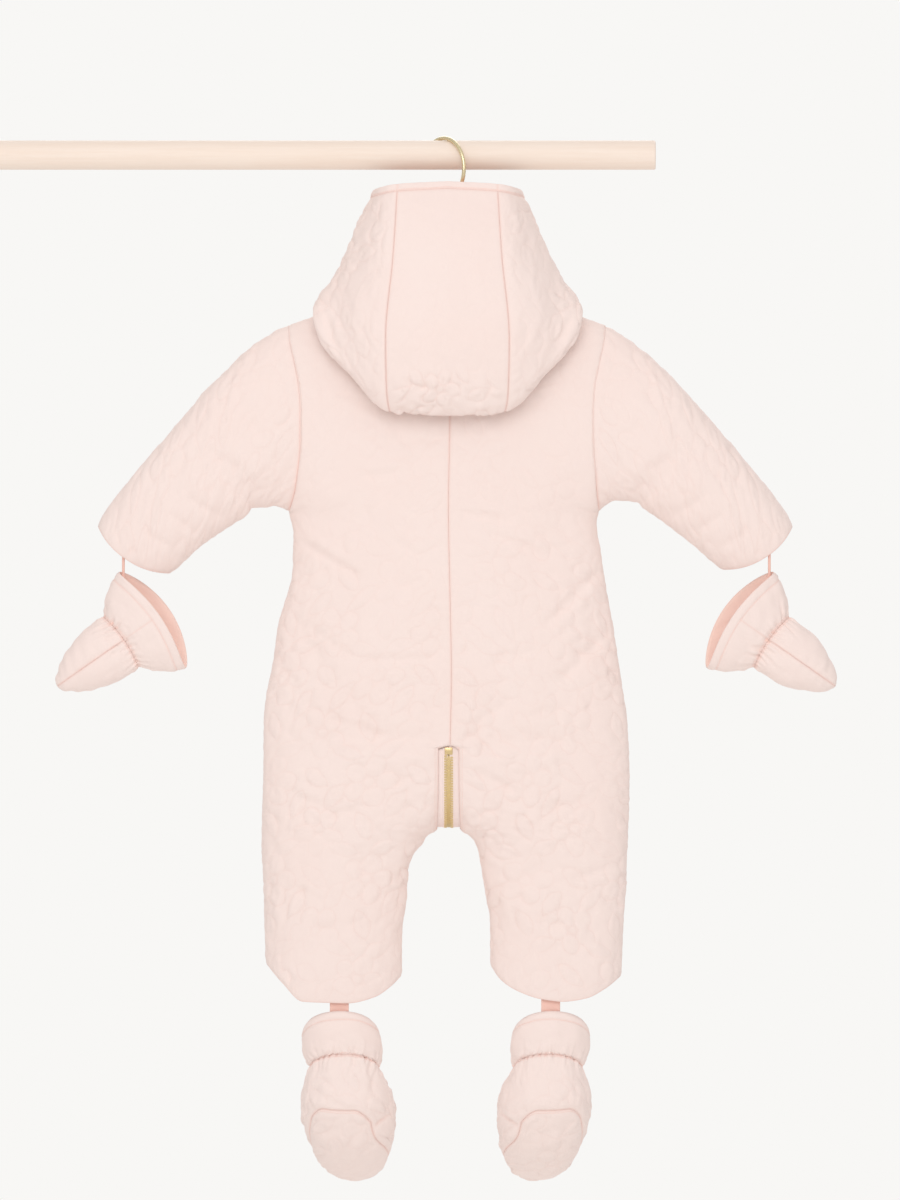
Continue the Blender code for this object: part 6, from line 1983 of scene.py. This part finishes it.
# ------------------------------------------------------------------ hanger, hook and rod
def make_hanger():
    slope = (SHOULDER_DROP - NECK_DROP) / (ARMHOLE["left"][0] - NECK_HALF)
    under = (CLOTH + HANGER_SLACK + HANGER_HEIGHT / 2) * math.hypot(1, slope)
    turn = np.linspace(-math.pi / 2, math.pi / 2, 121)
    x = HANGER_REACH * (0.25 * np.sin(turn) + 0.75 * turn / (math.pi / 2))
    drop = NECK_DROP + under + slope * (np.hypot(x, HANGER_CROWN) - NECK_HALF)
    tip = (np.abs(x) / (HANGER_REACH + HANGER_TIP)) ** HANGER_TIP_POWER
    shares = np.maximum(np.sqrt(1 - tip), 0.2)
    path = np.stack([x, 0 * x, drop], axis=1)
    section = oval(HANGER_HEIGHT / 2, HANGER_DEPTH / 2, 24)
    obj = sweep("turned_hanger_arms", path, section, [finishes["wood"]], shares, (0, 0, 1))
    hand_over(obj, "hanger_arms")
    top = np.interp(0, x, drop) - HANGER_HEIGHT / 2
    centre = ROD_RADIUS + SEAM_GAP + WIRE_RADIUS - HOOK_RADIUS
    spin = math.radians(HOOK_TURN)
    arc = np.radians(np.linspace(*HOOK_ARC, 90))
    reach = HOOK_RADIUS * np.cos(arc)
    ring = np.stack([HOOK_X + reach * math.cos(spin), -reach * math.sin(spin),
                     -centre - HOOK_RADIUS * np.sin(arc)], axis=1)
    ahead = ring[-1] - ring[-2]
    ahead /= np.linalg.norm(ahead)
    foot = np.array([0, 0, top - SEAM_GAP])
    share = np.linspace(0, 1, 40)[1:, None]
    bend = (
        (1 - share) ** 3 * ring[-1] + 3 * (1 - share) ** 2 * share * (ring[-1] + ahead * SHANK_BEND)
        + 3 * (1 - share) * share**2 * (foot - [0, 0, SHANK_BEND]) + share**3 * foot
    )
    path = np.concatenate([ring, bend])
    tips = np.ones(len(path))
    tips[:5] = np.sqrt(1 - (1 - np.arange(5) / 5) ** 2 * 0.97)
    obj = sweep("wire_hook", path, oval(WIRE_RADIUS, WIRE_RADIUS, 20), [finishes["wire"]], tips)
    hand_over(obj, "hook")


def make_rod():
    turn = np.linspace(0, math.pi / 2, 7)
    plain = ROD_RIGHT - ROD_EDGE
    along = -GARMENT_X + np.linspace(0, 1, 40)[:-1] * (GARMENT_X + plain)
    x = np.concatenate([along, plain + ROD_EDGE * np.sin(turn)])
    shares = np.concatenate([np.ones(len(along)), 1 - ROD_EDGE / ROD_RADIUS * (1 - np.cos(turn))])
    path = [(at, 0, 0) for at in x]
    section = oval(ROD_RADIUS, ROD_RADIUS, 96)
    obj = sweep("turned_rod", path, section, [finishes["wood"]], shares, (0, 1, 0))
    hand_over(obj, "rod")


def make_zip_metal():
    """The zip's end piece, slider and pull tab: their solids with every edge rounded."""
    for node, body in (("zip_end_piece", GARMENT), ("zip_slider", GARMENT), ("zip_pull", PULL)):
        shell = bmesh.new()
        shell.from_mesh(frame["nodes"][node].data)
        bmesh.ops.remove_doubles(shell, verts=shell.verts, dist=1e-6)
        bmesh.ops.dissolve_limit(
            shell, angle_limit=math.radians(2), verts=shell.verts, edges=shell.edges)
        sharp = [edge for edge in shell.edges if edge.calc_face_angle(0) > math.radians(25)]
        bmesh.ops.bevel(shell, geom=sharp, offset=size("metal_edge") * MM, segments=2, profile=0.5,
                        affect="EDGES", clamp_overlap=True)
        bmesh.ops.recalc_face_normals(shell, faces=shell.faces)
        mesh = bpy.data.meshes.new(f"brass_{node}")
        shell.to_mesh(mesh)
        shell.free()
        mesh.materials.append(finishes["brass"])
        mesh.shade_smooth()
        mesh.set_sharp_from_angle(angle=math.radians(40))
        face_outwards(mesh)
        hand_over(new_object(f"brass_{node}", mesh), node, body)


# ------------------------------------------------------------------ stage
def make_stage(settings):
    scene = bpy.context.scene
    centre = Vector(world([(VIEW_X - 448) * PIXEL, -30, (VIEW_DROP - 154) * PIXEL]))
    data = bpy.data.cameras.new("camera")
    camera = bpy.data.objects.new("camera", data)
    scene.collection.objects.link(camera)
    camera.location = centre + Vector((0, -VIEW_DISTANCE, 0))
    camera.rotation_euler = (math.radians(90), 0, 0)
    data.sensor_width = 36
    data.lens = 36 * VIEW_DISTANCE / (1200 * PIXEL * MM)
    scene.camera = camera
    scene.world = studio_sky(settings)
    scene.view_settings.view_transform = "Standard"
    for name, place, size, energy in (
        ("key_lamp", (-0.25, -2.7, 1.35), 2.0, settings.key),
        ("back_lamp", (0.4, 2.7, 1.35), 2.0, settings.key * 1.3),
    ):
        light = bpy.data.lights.new(name, "AREA")
        light.energy, light.size = energy, size
        lamp = bpy.data.objects.new(name, light)
        scene.collection.objects.link(lamp)
        lamp.location = centre + Vector(place)
        lamp.rotation_euler = (centre - lamp.location).to_track_quat("-Z", "Y").to_euler()
    turn = np.arange(96) / 96 * 2 * math.pi
    low = centre.z - FLOOR_DROP
    rim = [(centre.x + FLOOR_REACH * math.cos(t), FLOOR_REACH * math.sin(t), low) for t in turn]
    s = Shader("pale_floor")
    tone = s.noise(s.add("ShaderNodeTexCoord").outputs["Object"], 3.0, 2.0)
    s.put(s.main.inputs["Base Color"], s.mix(tone, (0.60, 0.595, 0.585, 1), (0.62, 0.615, 0.605, 1)))
    s.main.inputs["Emission Color"].default_value = (*linear(BACKDROP), 1)
    s.main.inputs["Emission Strength"].default_value = settings.floor_glow
    s.main.inputs["Roughness"].default_value = 0.95
    mesh_from("pale_floor", rim, [list(range(len(rim)))], [s.material])


def studio_sky(settings):
    """Soft light from all round, brighter from above, behind a plain pale backdrop."""
    sky = bpy.data.worlds.new("studio")
    sky.use_nodes = True
    s = Nodes(sky.node_tree)
    way = s.add("ShaderNodeTexCoord").outputs["Generated"]
    lean = s.add(
        "ShaderNodeVectorMath", {0: way, 1: SKY_LEAN}, operation="DOT_PRODUCT").outputs["Value"]
    broad = s.math("ABSOLUTE", s.add("ShaderNodeSeparateXYZ", {0: way}).outputs[1])
    level = s.math("MULTIPLY", s.sum((lean, 1.0), (broad, SKY_BROAD), (1.0, 1.0)), settings.fill)
    light = sky.node_tree.nodes["Background"]
    light.inputs[0].default_value = (1.0, 0.985, 0.975, 1)
    s.put(light.inputs[1], level)
    plain = s.add("ShaderNodeBackground", {0: (*linear(BACKDROP), 1), 1: 1.0})
    seen = s.add("ShaderNodeLightPath").outputs["Is Camera Ray"]
    mixed = s.add("ShaderNodeMixShader", {0: seen, 1: light.outputs[0], 2: plain.outputs[0]})
    s.put(sky.node_tree.nodes["World Output"].inputs[0], mixed.outputs[0])
    return sky


# ------------------------------------------------------------------ add-on
class SnowsuitSizes(bpy.types.PropertyGroup):
    quilt_rise: bpy.props.FloatProperty(
        name="Quilting rise", description="Height of the padding between the quilting lines",
        default=0.0017,
        min=0.0001, max=0.004, unit="LENGTH", precision=5)
    seam_sink: bpy.props.FloatProperty(
        name="Seam sink", description="Depth of the dip of the cloth at its seams", default=0.0008,
        min=0.0001, max=0.002, unit="LENGTH", precision=5)
    stitch_pitch: bpy.props.FloatProperty(
        name="Stitch pitch", description="Distance from one stitch to the next", default=0.0027,
        min=0.0001, max=0.01, unit="LENGTH", precision=5)
    stitch_length: bpy.props.FloatProperty(
        name="Stitch length", description="Length of a stitch", default=0.0022,
        min=0.0001, max=0.01, unit="LENGTH", precision=5)
    stitch_thickness: bpy.props.FloatProperty(
        name="Stitch thickness", description="Thickness of the sewing thread", default=0.00042,
        min=0.0001, max=0.002, unit="LENGTH", precision=5)
    tooth_pitch: bpy.props.FloatProperty(
        name="Tooth pitch", description="Distance from one zip tooth to the next", default=0.0024,
        min=0.0001, max=0.006, unit="LENGTH", precision=5)
    tooth_height: bpy.props.FloatProperty(
        name="Tooth height", description="Height of a zip tooth along the zip", default=0.00185,
        min=0.0001, max=0.005, unit="LENGTH", precision=5)
    metal_edge: bpy.props.FloatProperty(
        name="Metal edge", description="Radius of the rounded edges of the zip's metal", default=0.0003,
        min=0.0001, max=0.0006, unit="LENGTH", precision=5)


class SnowsuitColours(bpy.types.PropertyGroup):
    cotton: bpy.props.FloatVectorProperty(
        name="Cotton", description="Outer cloth", size=3, subtype="COLOR_GAMMA",
        min=0, max=1, default=(0.980, 0.914, 0.890))
    lining: bpy.props.FloatVectorProperty(
        name="Lining", description="Inside of the cloth", size=3, subtype="COLOR_GAMMA",
        min=0, max=1, default=(0.988, 0.871, 0.827))
    tape: bpy.props.FloatVectorProperty(
        name="Tape", description="Mitten ties and bootie tapes", size=3, subtype="COLOR_GAMMA",
        min=0, max=1, default=(0.980, 0.816, 0.765))
    zip_tape: bpy.props.FloatVectorProperty(
        name="Zip tape", description="Woven tape beside the zip's teeth", size=3, subtype="COLOR_GAMMA",
        min=0, max=1, default=(0.988, 0.918, 0.894))
    thread: bpy.props.FloatVectorProperty(
        name="Thread", description="Sewing thread", size=3, subtype="COLOR_GAMMA",
        min=0, max=1, default=(0.988, 0.871, 0.835))
    brass: bpy.props.FloatVectorProperty(
        name="Brass", description="The zip's metal", size=3, subtype="COLOR_GAMMA",
        min=0, max=1, default=(0.941, 0.835, 0.627))
    wire: bpy.props.FloatVectorProperty(
        name="Hook wire", description="Pale gold wire of the hook", size=3, subtype="COLOR_GAMMA",
        min=0, max=1, default=(0.953, 0.894, 0.737))
    wood: bpy.props.FloatVectorProperty(
        name="Wood", description="Rod and hanger", size=3, subtype="COLOR_GAMMA",
        min=0, max=1, default=(0.992, 0.941, 0.898))


class SnowsuitStage(bpy.types.PropertyGroup):
    fill: bpy.props.FloatProperty(
        name="Fill light", description="Strength of the light from all round", default=0.505, min=0)
    key: bpy.props.FloatProperty(
        name="Key light", description="Power of the main soft lamp", default=24.0, min=0, unit="POWER")
    floor_glow: bpy.props.FloatProperty(
        name="Floor glow", description="Light that the pale floor gives off", default=0.3, min=0)

class SNOWSUIT_OT_stage(bpy.types.Operator):
    """Make the camera, the lights and the pale floor"""

    bl_idname = "snowsuit.stage"
    bl_label = "Stage"

    def execute(self, context):
        make_stage(context.scene.snowsuit_stage)
        return {"FINISHED"}


class SNOWSUIT_OT_ties(bpy.types.Operator):
    """Make the mitten ties and the bootie tapes"""

    bl_idname = "snowsuit.ties"
    bl_label = "Ties and Tapes"

    def execute(self, context):
        prepare(context.scene)
        make_ties()
        return {"FINISHED"}


class SNOWSUIT_OT_body(bpy.types.Operator):
    """Make the four body panels"""

    bl_idname = "snowsuit.body"
    bl_label = "Body"

    def execute(self, context):
        prepare(context.scene)
        make_body()
        return {"FINISHED"}


class SNOWSUIT_OT_sleeves(bpy.types.Operator):
    """Make both sleeves"""

    bl_idname = "snowsuit.sleeves"
    bl_label = "Sleeves"

    def execute(self, context):
        prepare(context.scene)
        make_sleeves()
        return {"FINISHED"}


class SNOWSUIT_OT_hood(bpy.types.Operator):
    """Make the hood's panels and its band"""

    bl_idname = "snowsuit.hood"
    bl_label = "Hood"

    def execute(self, context):
        prepare(context.scene)
        make_hood()
        return {"FINISHED"}


class SNOWSUIT_OT_zip(bpy.types.Operator):
    """Make the zip's tapes, teeth, end piece, slider and pull tab"""

    bl_idname = "snowsuit.zip"
    bl_label = "Zip"

    def execute(self, context):
        prepare(context.scene)
        make_zip()
        make_zip_metal()
        return {"FINISHED"}


class SNOWSUIT_OT_mittens(bpy.types.Operator):
    """Make both mittens"""

    bl_idname = "snowsuit.mittens"
    bl_label = "Mittens"

    def execute(self, context):
        prepare(context.scene)
        make_mittens()
        return {"FINISHED"}


class SNOWSUIT_OT_booties(bpy.types.Operator):
    """Make both booties"""

    bl_idname = "snowsuit.booties"
    bl_label = "Booties"

    def execute(self, context):
        prepare(context.scene)
        make_booties()
        return {"FINISHED"}


class SNOWSUIT_OT_stitches(bpy.types.Operator):
    """Sew the seams, hems and elastics of the finished pieces"""

    bl_idname = "snowsuit.stitches"
    bl_label = "Stitches"

    def execute(self, context):
        prepare(context.scene)
        make_stitches()
        return {"FINISHED"}


class SNOWSUIT_OT_hanger(bpy.types.Operator):
    """Make the hanger's arms and hook"""

    bl_idname = "snowsuit.hanger"
    bl_label = "Hanger"

    def execute(self, context):
        prepare(context.scene)
        make_hanger()
        return {"FINISHED"}


class SNOWSUIT_OT_rod(bpy.types.Operator):
    """Make the round wood rod"""

    bl_idname = "snowsuit.rod"
    bl_label = "Rod"

    def execute(self, context):
        prepare(context.scene)
        make_rod()
        return {"FINISHED"}


OPERATORS = (
    SNOWSUIT_OT_stage, SNOWSUIT_OT_ties, SNOWSUIT_OT_body, SNOWSUIT_OT_sleeves,
    SNOWSUIT_OT_hood, SNOWSUIT_OT_zip, SNOWSUIT_OT_mittens, SNOWSUIT_OT_booties,
    SNOWSUIT_OT_stitches, SNOWSUIT_OT_hanger, SNOWSUIT_OT_rod,
)


class SNOWSUIT_PT_panel(bpy.types.Panel):
    """Lists the snowsuit's pieces, sizes and colours"""

    bl_label = "Snowsuit"
    bl_idname = "SNOWSUIT_PT_panel"
    bl_space_type = "VIEW_3D"
    bl_region_type = "UI"
    bl_category = "Snowsuit"

    def draw(self, context):
        for made in OPERATORS:
            self.layout.operator(made.bl_idname)
        scene = context.scene
        for group in (scene.snowsuit_sizes, scene.snowsuit_colours, scene.snowsuit_stage):
            box = self.layout.column()
            for key in group.__annotations__:
                box.prop(group, key)


CLASSES = (SnowsuitSizes, SnowsuitColours, SnowsuitStage, *OPERATORS, SNOWSUIT_PT_panel)


def register():
    for made in CLASSES:
        bpy.utils.register_class(made)
    bpy.types.Scene.snowsuit_sizes = bpy.props.PointerProperty(type=SnowsuitSizes)
    bpy.types.Scene.snowsuit_colours = bpy.props.PointerProperty(type=SnowsuitColours)
    bpy.types.Scene.snowsuit_stage = bpy.props.PointerProperty(type=SnowsuitStage)


def unregister():
    del bpy.types.Scene.snowsuit_stage
    del bpy.types.Scene.snowsuit_colours
    del bpy.types.Scene.snowsuit_sizes
    for made in reversed(CLASSES):
        bpy.utils.unregister_class(made)


def main():
    register()
    bpy.ops.snowsuit.stage()
    bpy.ops.snowsuit.ties()
    bpy.ops.snowsuit.body()
    bpy.ops.snowsuit.sleeves()
    bpy.ops.snowsuit.hood()
    bpy.ops.snowsuit.zip()
    bpy.ops.snowsuit.mittens()
    bpy.ops.snowsuit.booties()
    bpy.ops.snowsuit.stitches()
    bpy.ops.snowsuit.hanger()
    bpy.ops.snowsuit.rod()
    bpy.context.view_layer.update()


if __name__ == "__main__":
    main()
